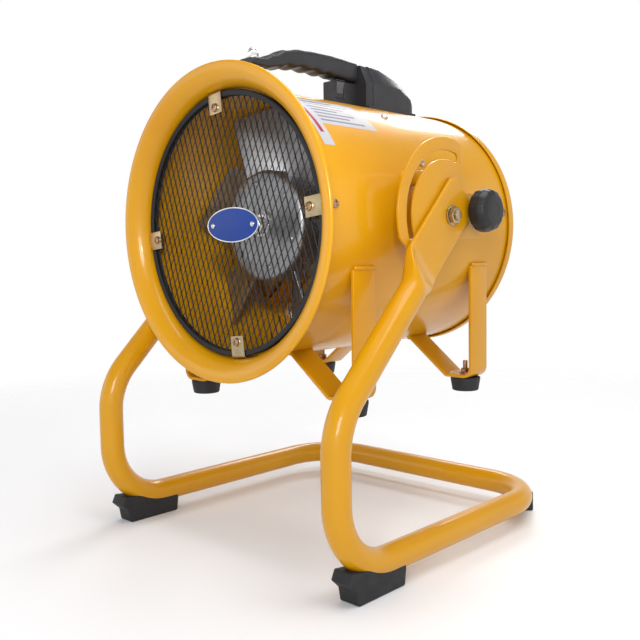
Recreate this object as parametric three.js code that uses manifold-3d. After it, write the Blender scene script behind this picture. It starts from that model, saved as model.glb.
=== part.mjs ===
// Portable axial ventilator: a belled sheet-metal barrel with a direct-drive impeller,
// hung by two pivots in a bent-tube stand so that it can be tilted and locked.
//
// Everything is built in the fan's own frame: Y runs along the fan axis from inlet to outlet,
// Z is up, and the inlet grille lies in the plane y = 0. The exported group then stands on the
// floor, with its origin under the middle of the stand.
import * as THREE from "three";
import { mergeVertices } from "three/addons/utils/BufferGeometryUtils.js";
import Module from "manifold-3d";

const wasm = await Module();
wasm.setup();

// ---- Driving dimensions, in millimetres ----
const AXIS_HEIGHT = 364; // fan axis above the floor
const GAP = 0.3; // clearance between pieces that touch
const RING_STEPS = 44; // facets around the large rings

const barrel = { radius: 148, inner: 146, rear: 334.5 };
const bell = { startY: 2, depth: 24, flare: 21.3, bead: 2.4 };
const collar = { radius: 151.5, front: 327, rear: 337.5, lip: 142, lipDepth: 2 };
const grille = { radius: 141.6, thickness: 1.4, pitchX: 36, pitchZ: 64, margin: 12 };
const edging = { outer: 143.7, inner: 137.6, halfDepth: 4 };
const inletGrilleY = 0;
const outletGrilleY = 330;
const clip = { count: 4, turn: 6, width: 21, thickness: 1.2, reach: 121, wall: 145.2 };
const clipScrew = { back: 9, radius: 2.3, head: 4.6, headHeight: 2.6 };
const nameplate = { halfWidth: 42.5, halfHeight: 19.2, thickness: 1.2, centreX: 6 };

const impeller = { blades: 6, turn: 11, hubRadius: 63, tip: 141, front: 58, rear: 112, nose: 46 };
const blade = { middle: 84, rootChord: 68, tipChord: 92, rootPitch: 42, tipPitch: 25 };
const motor = { radius: 57, front: 126, rear: 286, coverDepth: 16, shaftRadius: 7 };
const arms = { count: 4, turn: 42, y: 169, thickness: 4, width: 44, footSpan: 44 };

const handle = { width: 27, nutY: 39, nutRadius: 6.3 };
const box = { front: 201, rear: 297, halfWidth: 27, wall: 2.6 };
const step = { halfWidth: 10.5, front: 162.5, top: 177 };
const rocker = { y: 169.9, z: 166.6, width: 13, height: 19, depth: 7 };

const pivot = { y: 156, z: 6, boltRadius: 5, headRadius: 9.5, headHeight: 6 };
const arm = { halfWidth: 27, thickness: 6, inner: 176.3, tip: 36, flatEnd: -68, roundEnd: -102 };
const plate = { radius: 84, thickness: 3, outer: 175.7, rearEdge: 30, bottom: -37 };
const slot = { radius: 65, halfWidth: 5, low: -26, high: 105 };
const ear = { top: 26, bottom: -24, reach: 68 };
const pinRadius = 4;
const knob = { offset: 47.5, lift: 6, radius: 24, base: 183, height: 25, studRadius: 4 };

const tube = { radius: 14.4, halfSpan: 188, front: -40, rear: 346, level: -336 };
const bend = { knee: 80, front: 80, corner: 74 };
const standFoot = { halfWidth: 12.4, height: 16, length: 70, start: -23 };
const cornerFoot = { halfLength: 12, x: 159.7, y: 342.7, top: 25 };

const strap = { thickness: 4, width: 35, outer: 140, bottom: -185, flatInner: 104 };
const strapTop = { outerZ: -40, innerX: 46, innerZ: -139 };
const strapY = [58, 272];
const rubberFoot = { topRadius: 18.2, bottomRadius: 16, height: 16.5 };

// Middle of the stand's footprint along the fan axis.
const FOOTPRINT_MIDDLE = (tube.front + tube.rear) / 2;
const FLOOR = -AXIS_HEIGHT;

// ---- Materials ----
function paint(color, roughness, metalness) {
  return new THREE.MeshStandardMaterial({ color, roughness, metalness });
}
const yellowPaint = paint(0xe0a020, 0.3, 0.1);
const blackEnamel = paint(0x26262a, 0.45, 0.2);
const blackPlastic = paint(0x2e2f32, 0.6, 0);
const rubber = paint(0x262629, 0.85, 0);
const zincYellow = paint(0xb7a267, 0.35, 0.9);
const zincBright = paint(0xb9bbbd, 0.3, 1);
const castAluminium = paint(0xa9adb2, 0.45, 0.9);
const motorPaint = paint(0x3a3c40, 0.55, 0.3);
const plateBlue = paint(0x1f4f9c, 0.4, 0.3);

// ---- Geometry helpers ----

// Merges coincident points, drops collapsed triangles and turns all faces outwards.
function clean(geometry) {
  const bare = new THREE.BufferGeometry();
  bare.setAttribute("position", geometry.getAttribute("position").clone());
  bare.setIndex(geometry.getIndex());
  const merged = mergeVertices(bare, 1e-4);
  const position = merged.getAttribute("position");
  const faces = [];
  const index = merged.getIndex().array;
  for (let i = 0; i < index.length; i += 3) {
    const [a, b, c] = [index[i], index[i + 1], index[i + 2]];
    if (a !== b && b !== c && c !== a) faces.push([a, b, c]);
  }
  const corner = (i) => new THREE.Vector3().fromBufferAttribute(position, i);
  const volume = faces.reduce(
    (sum, [a, b, c]) => sum + corner(a).dot(corner(b).cross(corner(c))), 0);
  if (volume < 0) faces.forEach((face) => face.reverse());
  const result = new THREE.BufferGeometry();
  result.setAttribute("position", position);
  result.setIndex(faces.flat());
  return result;
}

function toSolid(geometry) {
  const closed = clean(geometry);
  return new wasm.Manifold(new wasm.Mesh({
    numProp: 3,
    vertProperties: Float32Array.from(closed.getAttribute("position").array),
    triVerts: Uint32Array.from(closed.getIndex().array),
  }));
}

function toGeometry(solid) {
  const mesh = solid.getMesh();
  const geometry = new THREE.BufferGeometry();
  geometry.setAttribute("position", new THREE.BufferAttribute(mesh.vertProperties, 3));
  geometry.setIndex(new THREE.BufferAttribute(mesh.triVerts, 1));
  return geometry;
}

function join(first, ...others) {
  return toGeometry(others.reduce((sum, other) => sum.add(toSolid(other)), toSolid(first)));
}

function cut(first, ...others) {
  return toGeometry(others.reduce((rest, other) => rest.subtract(toSolid(other)), toSolid(first)));
}

const vec = (x, y, z) => new THREE.Vector3(x, y, z);

// A solid of revolution about the fan axis from points [radius, y].
function revolve(profile, steps = RING_STEPS) {
  return new THREE.LatheGeometry(profile.map(([r, y]) => new THREE.Vector2(r, y)), steps);
}

function ring(inner, outer, from, to, steps = RING_STEPS) {
  return revolve([[inner, from], [outer, from], [outer, to], [inner, to], [inner, from]], steps);
}

// A straight round bar between two points.
function rod(start, end, radius, steps = 16, endRadius = radius) {
  const length = start.distanceTo(end);
  const geometry = new THREE.CylinderGeometry(endRadius, radius, length, steps);
  const turn = new THREE.Quaternion().setFromUnitVectors(
    vec(0, 1, 0), end.clone().sub(start).normalize());
  geometry.applyQuaternion(turn);
  const middle = start.clone().add(end).multiplyScalar(0.5);
  return geometry.translate(middle.x, middle.y, middle.z);
}

function block(low, high) {
  const size = high.clone().sub(low);
  const middle = low.clone().add(high).multiplyScalar(0.5);
  return new THREE.BoxGeometry(size.x, size.y, size.z).translate(middle.x, middle.y, middle.z);
}

// Extrudes an outline drawn in the X-Z plane along Y.
function extrudeAlongY(shape, from, depth, curveSegments = 8) {
  const geometry = new THREE.ExtrudeGeometry(shape, { depth, bevelEnabled: false, curveSegments });
  geometry.applyMatrix4(new THREE.Matrix4().makeBasis(vec(1, 0, 0), vec(0, 0, 1), vec(0, -1, 0)));
  return geometry.translate(0, from + depth, 0);
}

// Extrudes an outline drawn in the Y-Z plane along X.
function extrudeAlongX(shape, from, depth, curveSegments = 12) {
  const geometry = new THREE.ExtrudeGeometry(shape, { depth, bevelEnabled: false, curveSegments });
  geometry.applyMatrix4(new THREE.Matrix4().makeBasis(vec(0, 1, 0), vec(0, 0, 1), vec(1, 0, 0)));
  return geometry.translate(from, 0, 0);
}

// A closed skin through equal loops of points, with flat ends.
function loft(loops) {
  const count = loops[0].length;
  const positions = loops.flat().flatMap((p) => [p.x, p.y, p.z]);
  const index = [];
  for (let k = 0; k < loops.length - 1; k += 1) {
    for (let i = 0; i < count; i += 1) {
      const a = k * count + i;
      const b = k * count + ((i + 1) % count);
      index.push(a, b, b + count, a, b + count, a + count);
    }
  }
  const last = (loops.length - 1) * count;
  for (let i = 1; i < count - 1; i += 1) {
    index.push(0, i + 1, i, last, last + i, last + i + 1);
  }
  const geometry = new THREE.BufferGeometry();
  geometry.setAttribute("position", new THREE.Float32BufferAttribute(positions, 3));
  geometry.setIndex(index);
  return geometry;
}

// The same piece on the other side of the fan's middle plane.
function onSide(side, geometry) {
  return geometry.clone().scale(side, 1, 1);
}

function turned(geometry, degrees) {
  return geometry.clone().rotateY(-THREE.MathUtils.degToRad(degrees));
}

// The space inside the barrel's outer face, for trimming pieces that sit on it.
function barrelSpace(clearance = GAP) {
  return ring(0, barrel.radius + clearance, -60, 400, 96);
}

// ---- Assembly ----
const fan = new THREE.Group();
fan.position.set(0, -FOOTPRINT_MIDDLE, AXIS_HEIGHT);

function piece(name, geometry, material) {
  const mesh = new THREE.Mesh(clean(geometry), material);
  mesh.name = name;
  fan.add(mesh);
}

const SIDES = [["right", 1], ["left", -1]];

// ---- Barrel ----

// Sheet barrel whose front flares out into a bell-mouth with a rolled edge.
function barrelShell() {
  const flareSteps = 5;
  const inside = [];
  const outside = [];
  for (let i = 0; i <= flareSteps; i += 1) {
    const t = (i / flareSteps) * (Math.PI / 2);
    const radius = barrel.inner + bell.flare * (1 - Math.cos(t));
    const y = bell.startY - bell.depth * Math.sin(t);
    inside.push([radius, y]);
    outside.unshift([radius + 2 * Math.cos(t), y + 2 * Math.sin(t)]);
  }
  const beadRadius = bell.bead;
  const edge = barrel.inner + bell.flare;
  const beadY = bell.startY - bell.depth + beadRadius;
  const bead = [];
  for (const degrees of [-50, 0, 50, 100]) {
    const t = THREE.MathUtils.degToRad(degrees);
    bead.push([edge + 1.4 + beadRadius * Math.cos(t), beadY + beadRadius * Math.sin(t)]);
  }
  const profile = [
    [barrel.inner, barrel.rear], ...inside, ...bead, ...outside.slice(1),
    [barrel.radius, bell.startY + 12], [barrel.radius, barrel.rear],
    [barrel.inner, barrel.rear],
  ];
  return revolve(profile);
}

// Rolled collar closing the outlet end, with a lip that holds the grille in.
function outletCollar() {
  return revolve([
    [barrel.radius + GAP, collar.front], [collar.radius - 1.2, collar.front],
    [collar.radius, collar.front + 2], [collar.radius, collar.rear - 2],
    [collar.radius - 1.5, collar.rear], [collar.lip, collar.rear],
    [collar.lip, collar.rear - collar.lipDepth],
    [barrel.radius + GAP, collar.rear - collar.lipDepth], [barrel.radius + GAP, collar.front],
  ]);
}

// Expanded-metal guard: a thin disc with staggered diamond openings.
function guardDisc(y) {
  const shape = new THREE.Shape().absarc(0, 0, grille.radius, 0, 2 * Math.PI);
  const halfX = grille.pitchX / 2 - 4;
  const halfZ = grille.pitchZ / 2 - 5;
  const rows = 10;
  for (let row = -rows; row <= rows; row += 1) {
    for (let column = -rows; column <= rows; column += 1) {
      const x = (column + (row % 2 === 0 ? 0 : 0.5)) * grille.pitchX;
      const z = (row * grille.pitchZ) / 2;
      const reach = Math.max(Math.hypot(Math.abs(x) + halfX, z), Math.hypot(x, Math.abs(z) + halfZ));
      if (reach > grille.radius - grille.margin) continue;
      const corners = [[x + halfX, z], [x, z + halfZ], [x - halfX, z], [x, z - halfZ]];
      shape.holes.push(new THREE.Path(corners.map(([a, b]) => new THREE.Vector2(a, b))));
    }
  }
  return extrudeAlongY(shape, y - grille.thickness / 2, grille.thickness, 12);
}

// Black channel pressed on the rim of a guard.
function guardEdging(y) {
  const slotHalf = grille.thickness / 2 + GAP;
  const bottom = grille.radius + 0.8;
  const { inner, outer, halfDepth } = edging;
  return revolve([
    [inner, y - halfDepth], [outer, y - halfDepth], [outer, y + halfDepth],
    [inner, y + halfDepth], [inner, y + slotHalf], [bottom, y + slotHalf],
    [bottom, y - slotHalf], [inner, y - slotHalf], [inner, y - halfDepth],
  ], 36);
}

// Angle clip over the edging, screwed to the barrel wall. It is drawn at +X.
// The facing sign is -1 where the clip's tab lies in front of its guard and +1 behind it.
function guardClip(y, facing, wallEnd) {
  const half = clip.width / 2;
  const tabY = y + facing * (edging.halfDepth + GAP);
  const tabFar = tabY + facing * clip.thickness;
  const tab = block(
    vec(clip.reach, Math.min(tabY, tabFar), -half), vec(clip.wall, Math.max(tabY, tabFar), half));
  const wall = block(
    vec(clip.wall - clip.thickness, Math.min(tabFar, wallEnd), -half),
    vec(clip.wall, Math.max(tabFar, wallEnd), half));
  return join(tab, wall);
}

// Pan-head screw through the barrel wall and the clip, drawn at +X.
function wallScrew(y) {
  const shank = rod(vec(clip.wall - 9, y, 0), vec(barrel.radius + 1, y, 0), clipScrew.radius, 6);
  const headStart = vec(barrel.radius + GAP, y, 0);
  const headEnd = vec(barrel.radius + GAP + clipScrew.headHeight, y, 0);
  const head = rod(headStart, headEnd, clipScrew.head, 10, clipScrew.head * 0.6);
  return join(shank, head);
}

function screwHole(y) {
  return rod(vec(140, y, 0), vec(160, y, 0), clipScrew.radius + GAP, 8);
}

const clipAngles = Array.from({ length: clip.count }, (_, i) => clip.turn + (360 / clip.count) * i);
const inletScrewY = inletGrilleY + clipScrew.back;
const outletScrewY = outletGrilleY - 12;
const inletClip = cut(guardClip(inletGrilleY, -1, inletScrewY + 6), screwHole(inletScrewY));
const outletClip = cut(guardClip(outletGrilleY, -1, outletScrewY - 6), screwHole(outletScrewY));
const shellHoles = clipAngles.flatMap(
  (angle) => [turned(screwHole(inletScrewY), angle), turned(screwHole(outletScrewY), angle)]);

piece("barrel_shell", cut(barrelShell(), ...shellHoles), yellowPaint);
piece("outlet_collar", outletCollar(), yellowPaint);
piece("inlet_grille", guardDisc(inletGrilleY), blackEnamel);
piece("inlet_grille_edging", guardEdging(inletGrilleY), blackEnamel);
piece("outlet_grille", guardDisc(outletGrilleY), blackEnamel);
piece("outlet_grille_edging", guardEdging(outletGrilleY), blackEnamel);
clipAngles.forEach((angle, i) => {
  piece(`inlet_clip_${i + 1}`, turned(inletClip, angle), zincYellow);
  piece(`outlet_clip_${i + 1}`, turned(outletClip, angle), zincYellow);
  piece(`inlet_clip_screw_${i + 1}`, turned(wallScrew(inletScrewY), angle), zincYellow);
  piece(`outlet_clip_screw_${i + 1}`, turned(wallScrew(outletScrewY), angle), zincYellow);
});

// Oval badge riveted to the inlet grille.
function badge() {
  const shape = new THREE.Shape().absellipse(
    nameplate.centreX, 0, nameplate.halfWidth, nameplate.halfHeight, 0, 2 * Math.PI);
  const back = inletGrilleY - grille.thickness / 2 - GAP;
  return extrudeAlongY(shape, back - nameplate.thickness, nameplate.thickness, 14);
}
piece("nameplate", badge(), plateBlue);

// ---- Impeller and motor ----

// One cambered, twisted blade standing on the hub at the top of the wheel.
function bladeSolid() {
  const stations = 4;
  const loops = [];
  for (let k = 0; k <= stations; k += 1) {
    const t = k / stations;
    const radius = THREE.MathUtils.lerp(impeller.hubRadius - 4, impeller.tip, t);
    const chord = THREE.MathUtils.lerp(blade.rootChord, blade.tipChord, t);
    const pitch = THREE.MathUtils.degToRad(THREE.MathUtils.lerp(blade.rootPitch, blade.tipPitch, t));
    const thickness = THREE.MathUtils.lerp(4.5, 2.5, t);
    const front = [];
    const back = [];
    for (let i = 0; i <= 5; i += 1) {
      const s = i / 5 - 0.5;
      const camber = 0.07 * chord * (1 - 4 * s * s);
      const half = (thickness / 2) * Math.sqrt(Math.max(0.12, 1 - 4 * s * s));
      for (const [list, offset] of [[front, half], [back, -half]]) {
        const across = s * chord * Math.cos(pitch) - (camber + offset) * Math.sin(pitch);
        const along = s * chord * Math.sin(pitch) + (camber + offset) * Math.cos(pitch);
        const angle = across / radius;
        list.push(vec(
          radius * Math.sin(angle), blade.middle + along, radius * Math.cos(angle)));
      }
    }
    loops.push([...front, ...back.reverse()]);
  }
  return loft(loops);
}

function impellerWheel() {
  const { hubRadius, front, rear, nose } = impeller;
  const hub = revolve([
    [0, nose], [hubRadius - 7, nose + 2], [hubRadius - 2, nose + 4.5], [hubRadius, nose + 9],
    [hubRadius, rear], [hubRadius - 5, rear], [hubRadius - 5, front + 2],
    [16, front - 3], [16, rear - 4], [0, rear - 4],
  ], 24);
  const blades = Array.from(
    { length: impeller.blades },
    (_, i) => turned(bladeSolid(), impeller.turn + (360 / impeller.blades) * i));
  const bore = rod(vec(0, 0, 0), vec(0, 200, 0), motor.shaftRadius + GAP, 16);
  return cut(join(hub, ...blades), bore);
}

piece("impeller", impellerWheel(), castAluminium);
const shaftFront = impeller.nose - 10;
piece("motor_shaft", rod(vec(0, shaftFront, 0), vec(0, 268, 0), motor.shaftRadius, 16), zincBright);
piece("impeller_nut", cut(
  rod(vec(0, shaftFront - 3, 0), vec(0, impeller.nose - GAP, 0), 12, 6),
  rod(vec(0, shaftFront - 1, 0), vec(0, 60, 0), motor.shaftRadius + GAP, 16)), zincBright);

function motorHousing() {
  const { radius, front, rear, coverDepth } = motor;
  const shell = ring(
    radius - 6, radius, front + coverDepth + GAP, rear - coverDepth - GAP, 24);
  const fins = [];
  for (let i = 0; i < 12; i += 1) {
    const fin = block(
      vec(radius - 1, front + coverDepth + 8, -1.2), vec(radius + 5, rear - coverDepth - 8, 1.2));
    fins.push(turned(fin, arms.turn + 15 + 30 * i));
  }
  return join(shell, ...fins);
}

function motorCover(inner, outer) {
  const bore = motor.shaftRadius + GAP;
  const step = outer > inner ? 1 : -1;
  return revolve([
    [bore, inner - 10 * step], [bore + 12, inner - 10 * step], [bore + 12, outer - 7 * step],
    [motor.radius, outer - 14 * step - 2 * step], [motor.radius, outer - 4 * step],
    [motor.radius - 8, outer], [bore, outer], [bore, inner - 10 * step],
  ], 20);
}

piece("motor_housing", motorHousing(), motorPaint);
piece("motor_front_cover",
  motorCover(motor.front + motor.coverDepth, motor.front), motorPaint);
piece("motor_rear_cover",
  motorCover(motor.rear - motor.coverDepth, motor.rear), motorPaint);

// Radial arm between the motor and the barrel, with a curved foot bolted to the barrel wall.
function motorArm() {
  const y = arms.y;
  const web = block(
    vec(motor.radius + 0.6, y - arms.width / 2, -arms.thickness / 2),
    vec(barrel.inner - 2, y + arms.width / 2, arms.thickness / 2));
  const half = THREE.MathUtils.degToRad(arms.footSpan / 2);
  const outer = barrel.inner - 0.8;
  const foot = new THREE.Shape()
    .absarc(0, 0, outer, -half, half, false)
    .absarc(0, 0, outer - 3, half, -half, true);
  return join(web, extrudeAlongY(foot, y - 12, 24, 8));
}
for (let i = 0; i < arms.count; i += 1) {
  piece(`motor_arm_${i + 1}`, turned(motorArm(), arms.turn + (360 / arms.count) * i), yellowPaint);
}

// ---- Handle and switch box ----

// Moulded carrying handle: a foot under the cap nut, then an arched bar to the switch box.
function handleGrip() {
  // Each station: distance along the fan, height of the bar's middle, half height.
  const stations = [
    [27, 178.5, 5], [48, 178.5, 5], [62, 183, 8.5], [80, 189.5, 10.5], [100, 192.5, 11.2],
    [122, 193.5, 11.8], [148, 193.2, 12.5], [175, 192.2, 13], [box.front - GAP, 191, 13],
  ];
  const loops = stations.map(([y, z, halfHeight], k) => {
    const halfWidth = k === 0 ? handle.width / 2 - 3 : handle.width / 2;
    const loop = [];
    for (let i = 0; i < 12; i += 1) {
      const t = (i / 12) * 2 * Math.PI + Math.PI / 12;
      const squared = (value) => Math.sign(value) * Math.abs(value) ** 0.6;
      loop.push(vec(halfWidth * squared(Math.cos(t)), y, z + halfHeight * squared(Math.sin(t))));
    }
    return loop;
  });
  const post = block(vec(-12, 28, 140), vec(12, 50, 180));
  const bore = rod(vec(0, handle.nutY, 130), vec(0, handle.nutY, 200), 3.4, 10);
  return cut(join(loft(loops), post), barrelSpace(), bore);
}

function boxLoops(inset) {
  // Each station: distance along the fan, half width, shoulder height, half crown, crown height.
  const stations = [
    [box.front, box.halfWidth, 177, 17.5, 200], [235, box.halfWidth, 177, 17, 198.5],
    [268, box.halfWidth, 176, 15, 191], [290, box.halfWidth - 0.5, 166, 13.5, 181],
    [box.rear, box.halfWidth - 2, 157, 12, 171],
  ];
  return stations.map(([y, halfWidth, shoulder, halfCrown, crown], k) => {
    const shift = k === 0 ? inset : k === stations.length - 1 ? -inset : 0;
    const outline = [
      [halfWidth - inset, 130], [halfWidth - inset, shoulder - inset / 2],
      [halfCrown - inset / 2, crown - inset], [-halfCrown + inset / 2, crown - inset],
      [-halfWidth + inset, shoulder - inset / 2], [-halfWidth + inset, 130],
    ];
    return outline.map(([x, z]) => vec(x, y + shift, z));
  });
}

// Hollow switch housing that straddles the barrel, open where it sits on the barrel.
function switchBox() {
  const stepBlock = block(
    vec(-step.halfWidth, step.front, 140), vec(step.halfWidth, box.front + 1, step.top));
  const pocket = block(
    vec(step.halfWidth - rocker.depth - 1, rocker.y - rocker.width / 2 - GAP,
      rocker.z - rocker.height / 2 - GAP),
    vec(step.halfWidth + 5, rocker.y + rocker.width / 2 + GAP,
      rocker.z + rocker.height / 2 + GAP));
  const glandBore = rod(vec(-40, glandY, glandZ), vec(-20, glandY, glandZ), 6 + GAP, 12);
  return cut(join(loft(boxLoops(0)), stepBlock), loft(boxLoops(box.wall)), barrelSpace(), pocket,
    glandBore);
}

// Rocker whose two faces lean back from its middle, pivoting on an axis along the fan.
function rockerSwitch() {
  const face = step.halfWidth;
  const outline = new THREE.Shape([
    new THREE.Vector2(face - 4, rocker.z - rocker.height / 2 + 0.4),
    new THREE.Vector2(face - 0.6, rocker.z - rocker.height / 2 + 0.6),
    new THREE.Vector2(face + 0.4, rocker.z),
    new THREE.Vector2(face + 2.6, rocker.z + rocker.height / 2 - 1),
    new THREE.Vector2(face - 1, rocker.z + rocker.height / 2 - 0.4),
    new THREE.Vector2(face - 5.5, rocker.z),
  ]);
  return extrudeAlongY(outline, rocker.y - rocker.width / 2 + 0.2, rocker.width - 0.4);
}

const glandY = 262;
const glandZ = 162;
function cableGland() {
  const start = -box.halfWidth - GAP;
  const body = rod(vec(start, glandY, glandZ), vec(start - 6, glandY, glandZ), 10, 6);
  const dome = rod(vec(start - 5, glandY, glandZ), vec(start - 17, glandY, glandZ), 9, 16, 6);
  const thread = rod(vec(start + 8, glandY, glandZ), vec(start - 1, glandY, glandZ), 6, 12);
  const bore = rod(vec(start + 20, glandY, glandZ), vec(start - 30, glandY, glandZ), 3.6, 12);
  return cut(join(body, dome, thread), bore);
}

function capNut() {
  const base = 183.5 + GAP;
  const washer = rod(vec(0, handle.nutY, base), vec(0, handle.nutY, base + 1.5), 8, 16);
  const nut = rod(vec(0, handle.nutY, base + 1), vec(0, handle.nutY, base + 7), handle.nutRadius, 6);
  const dome = rod(
    vec(0, handle.nutY, base + 6), vec(0, handle.nutY, base + 12.5), 5.2, 12, 2.5);
  const stud = rod(vec(0, handle.nutY, 154), vec(0, handle.nutY, base + 2), 3, 10);
  return join(washer, nut, dome, stud);
}

piece("handle_grip", handleGrip(), blackPlastic);
piece("handle_nut", capNut(), zincBright);
piece("switch_box", switchBox(), blackPlastic);
piece("rocker_switch", rockerSwitch(), blackPlastic);
piece("cable_gland", cableGland(), blackPlastic);
piece("run_capacitor",
  rod(vec(4, box.front + 12, 168), vec(4, box.front + 70, 168), 13, 16), blackPlastic);

// ---- Tilt pivots ----

const knobY = pivot.y + knob.offset;
const knobZ = pivot.z + knob.lift;

const polar = (radius, degrees) => {
  const t = THREE.MathUtils.degToRad(degrees);
  return [pivot.y - radius * Math.cos(t), pivot.z + radius * Math.sin(t)];
};

// Points of the half-round end of the slot, beyond the given angle (sign 1) or before it (-1).
function slotEnd(degrees, sign) {
  const [y, z] = polar(slot.radius, degrees);
  const t = THREE.MathUtils.degToRad(degrees);
  return [1, 2, 3, 4, 5].map((step) => {
    const out = sign * slot.halfWidth * Math.cos((step * Math.PI) / 6);
    const along = sign * slot.halfWidth * Math.sin((step * Math.PI) / 6);
    return [y - out * Math.cos(t) + along * Math.sin(t), z + out * Math.sin(t) + along * Math.cos(t)];
  });
}

// Quadrant plate fixed to the barrel: a slotted sector ahead of the pivot and an ear behind it
// for the clamp knob. Angles run from straight ahead, upwards.
function quadrantPlate() {
  const shape = new THREE.Shape();
  const top = 90 + 18;
  const lowest = plate.bottom;
  const startAngle = THREE.MathUtils.radToDeg(Math.asin((lowest + 12) / plate.radius));
  shape.moveTo(pivot.y + ear.reach, pivot.z + ear.bottom);
  shape.lineTo(pivot.y + ear.reach, pivot.z + ear.top);
  shape.lineTo(pivot.y + plate.rearEdge, pivot.z + ear.top);
  const arcSteps = 16;
  for (let i = 0; i <= arcSteps; i += 1) {
    const degrees = THREE.MathUtils.lerp(top, startAngle, i / arcSteps);
    shape.lineTo(...polar(plate.radius, degrees));
  }
  shape.lineTo(pivot.y - plate.radius + 20, pivot.z + lowest);
  shape.lineTo(pivot.y + 4, pivot.z + lowest);
  shape.lineTo(pivot.y + 20, pivot.z + ear.bottom);

  const points = [];
  const slotSteps = 14;
  const edge = (radius, i) => polar(radius, THREE.MathUtils.lerp(slot.low, slot.high, i / slotSteps));
  for (let i = 0; i <= slotSteps; i += 1) points.push(edge(slot.radius + slot.halfWidth, i));
  points.push(...slotEnd(slot.high, 1));
  for (let i = slotSteps; i >= 0; i -= 1) points.push(edge(slot.radius - slot.halfWidth, i));
  points.push(...slotEnd(slot.low, -1));
  shape.holes.push(new THREE.Path(points.map(([y, z]) => new THREE.Vector2(y, z))));
  return extrudeAlongX(shape, plate.outer - plate.thickness, plate.thickness);
}

function pivotPlate() {
  const face = plate.outer - 1;
  const post = (y, z, radius) => rod(vec(120, y, z), vec(face, y, z), radius, 12);
  const posts = [
    post(pivot.y, pivot.z, 13), post(knobY, knobZ, 11),
    post(pivot.y - 26, pivot.z + 40, 8),
  ];
  const boltBore = rod(
    vec(158, pivot.y, pivot.z), vec(190, pivot.y, pivot.z), pivot.boltRadius + GAP, 16);
  const studBore = rod(
    vec(164, knobY, knobZ), vec(190, knobY, knobZ), knob.studRadius + GAP, 16);
  return cut(join(quadrantPlate(), ...posts), barrelSpace(), boltBore, studBore);
}

function pivotBolt() {
  const face = arm.inner + arm.thickness + GAP;
  const at = (x) => vec(x, pivot.y, pivot.z);
  return join(
    rod(at(159), at(face + 1), pivot.boltRadius, 16), rod(at(face), at(face + 1.8), 12, 20),
    rod(at(face + 1), at(face + 1 + pivot.headHeight), pivot.headRadius, 6));
}

// Round clamp knob with shallow finger flutes and a moulded-in stud.
function clampKnob() {
  const flutes = 12;
  const steps = flutes * 2;
  const section = (x, radius) => {
    const loop = [];
    for (let i = 0; i < steps; i += 1) {
      const t = (i / steps) * 2 * Math.PI;
      const r = radius - (i % 2) * 0.8;
      loop.push(vec(x, knobY + r * Math.cos(t), knobZ + r * Math.sin(t)));
    }
    return loop;
  };
  const { base, height, radius } = knob;
  const body = loft([
    section(base, radius - 4), section(base + 3, radius - 1), section(base + 8, radius),
    section(base + height * 0.66, radius), section(base + height * 0.9, radius - 3.5),
    section(base + height, radius - 9),
  ]);
  const stud = rod(
    vec(165, knobY, knobZ), vec(base + 2, knobY, knobZ), knob.studRadius, 16);
  return join(body, stud);
}

function guidePin() {
  const [y, z] = polar(slot.radius, slot.low);
  return rod(vec(169, y, z), vec(arm.inner - GAP, y, z), pinRadius, 16);
}

SIDES.forEach(([name, side]) => {
  piece(`pivot_plate_${name}`, onSide(side, pivotPlate()), yellowPaint);
  piece(`pivot_bolt_${name}`, onSide(side, pivotBolt()), zincYellow);
  piece(`clamp_knob_${name}`, onSide(side, clampKnob()), blackPlastic);
  piece(`guide_pin_${name}`, onSide(side, guidePin()), zincBright);
});

// ---- Feet of the barrel ----

// Outline of a bent flat strap that follows the given points at a constant thickness.
function strapOutline(points, thickness) {
  const offset = (sign) => points.map((point, i) => {
    const before = points[Math.max(i - 1, 0)];
    const after = points[Math.min(i + 1, points.length - 1)];
    const first = i === 0 ? after.clone().sub(point) : point.clone().sub(before);
    const second = i === points.length - 1 ? first : after.clone().sub(point);
    const normal = (v) => new THREE.Vector2(-v.y, v.x).normalize();
    const miter = normal(first).add(normal(second)).normalize();
    const scale = (thickness / 2) / miter.dot(normal(first));
    return point.clone().addScaledVector(miter, sign * scale);
  });
  return new THREE.Shape([...offset(1), ...offset(-1).reverse()]);
}

function footBracket(y) {
  const points = [
    [strap.outer, strapTop.outerZ], [strap.outer, strap.bottom],
    [strap.flatInner, strap.bottom], [strapTop.innerX, strapTop.innerZ],
  ].map(([x, z]) => new THREE.Vector2(x, z));
  const bar = extrudeAlongY(
    strapOutline(points, strap.thickness), y - strap.width / 2, strap.width);
  return cut(bar, barrelSpace());
}

function barrelFoot(y) {
  const x = (strap.outer + strap.flatInner) / 2;
  const top = strap.bottom - strap.thickness / 2 - GAP;
  return rod(
    vec(x, y, top - rubberFoot.height), vec(x, y, top), rubberFoot.bottomRadius, 20,
    rubberFoot.topRadius);
}

strapY.forEach((y, i) => {
  SIDES.forEach(([name, side]) => {
    const place = `${i === 0 ? "front" : "rear"}_${name}`;
    piece(`foot_bracket_${place}`, onSide(side, footBracket(y)), yellowPaint);
    piece(`rubber_foot_${place}`, onSide(side, barrelFoot(y)), rubber);
  });
});

// ---- Stand ----

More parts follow.
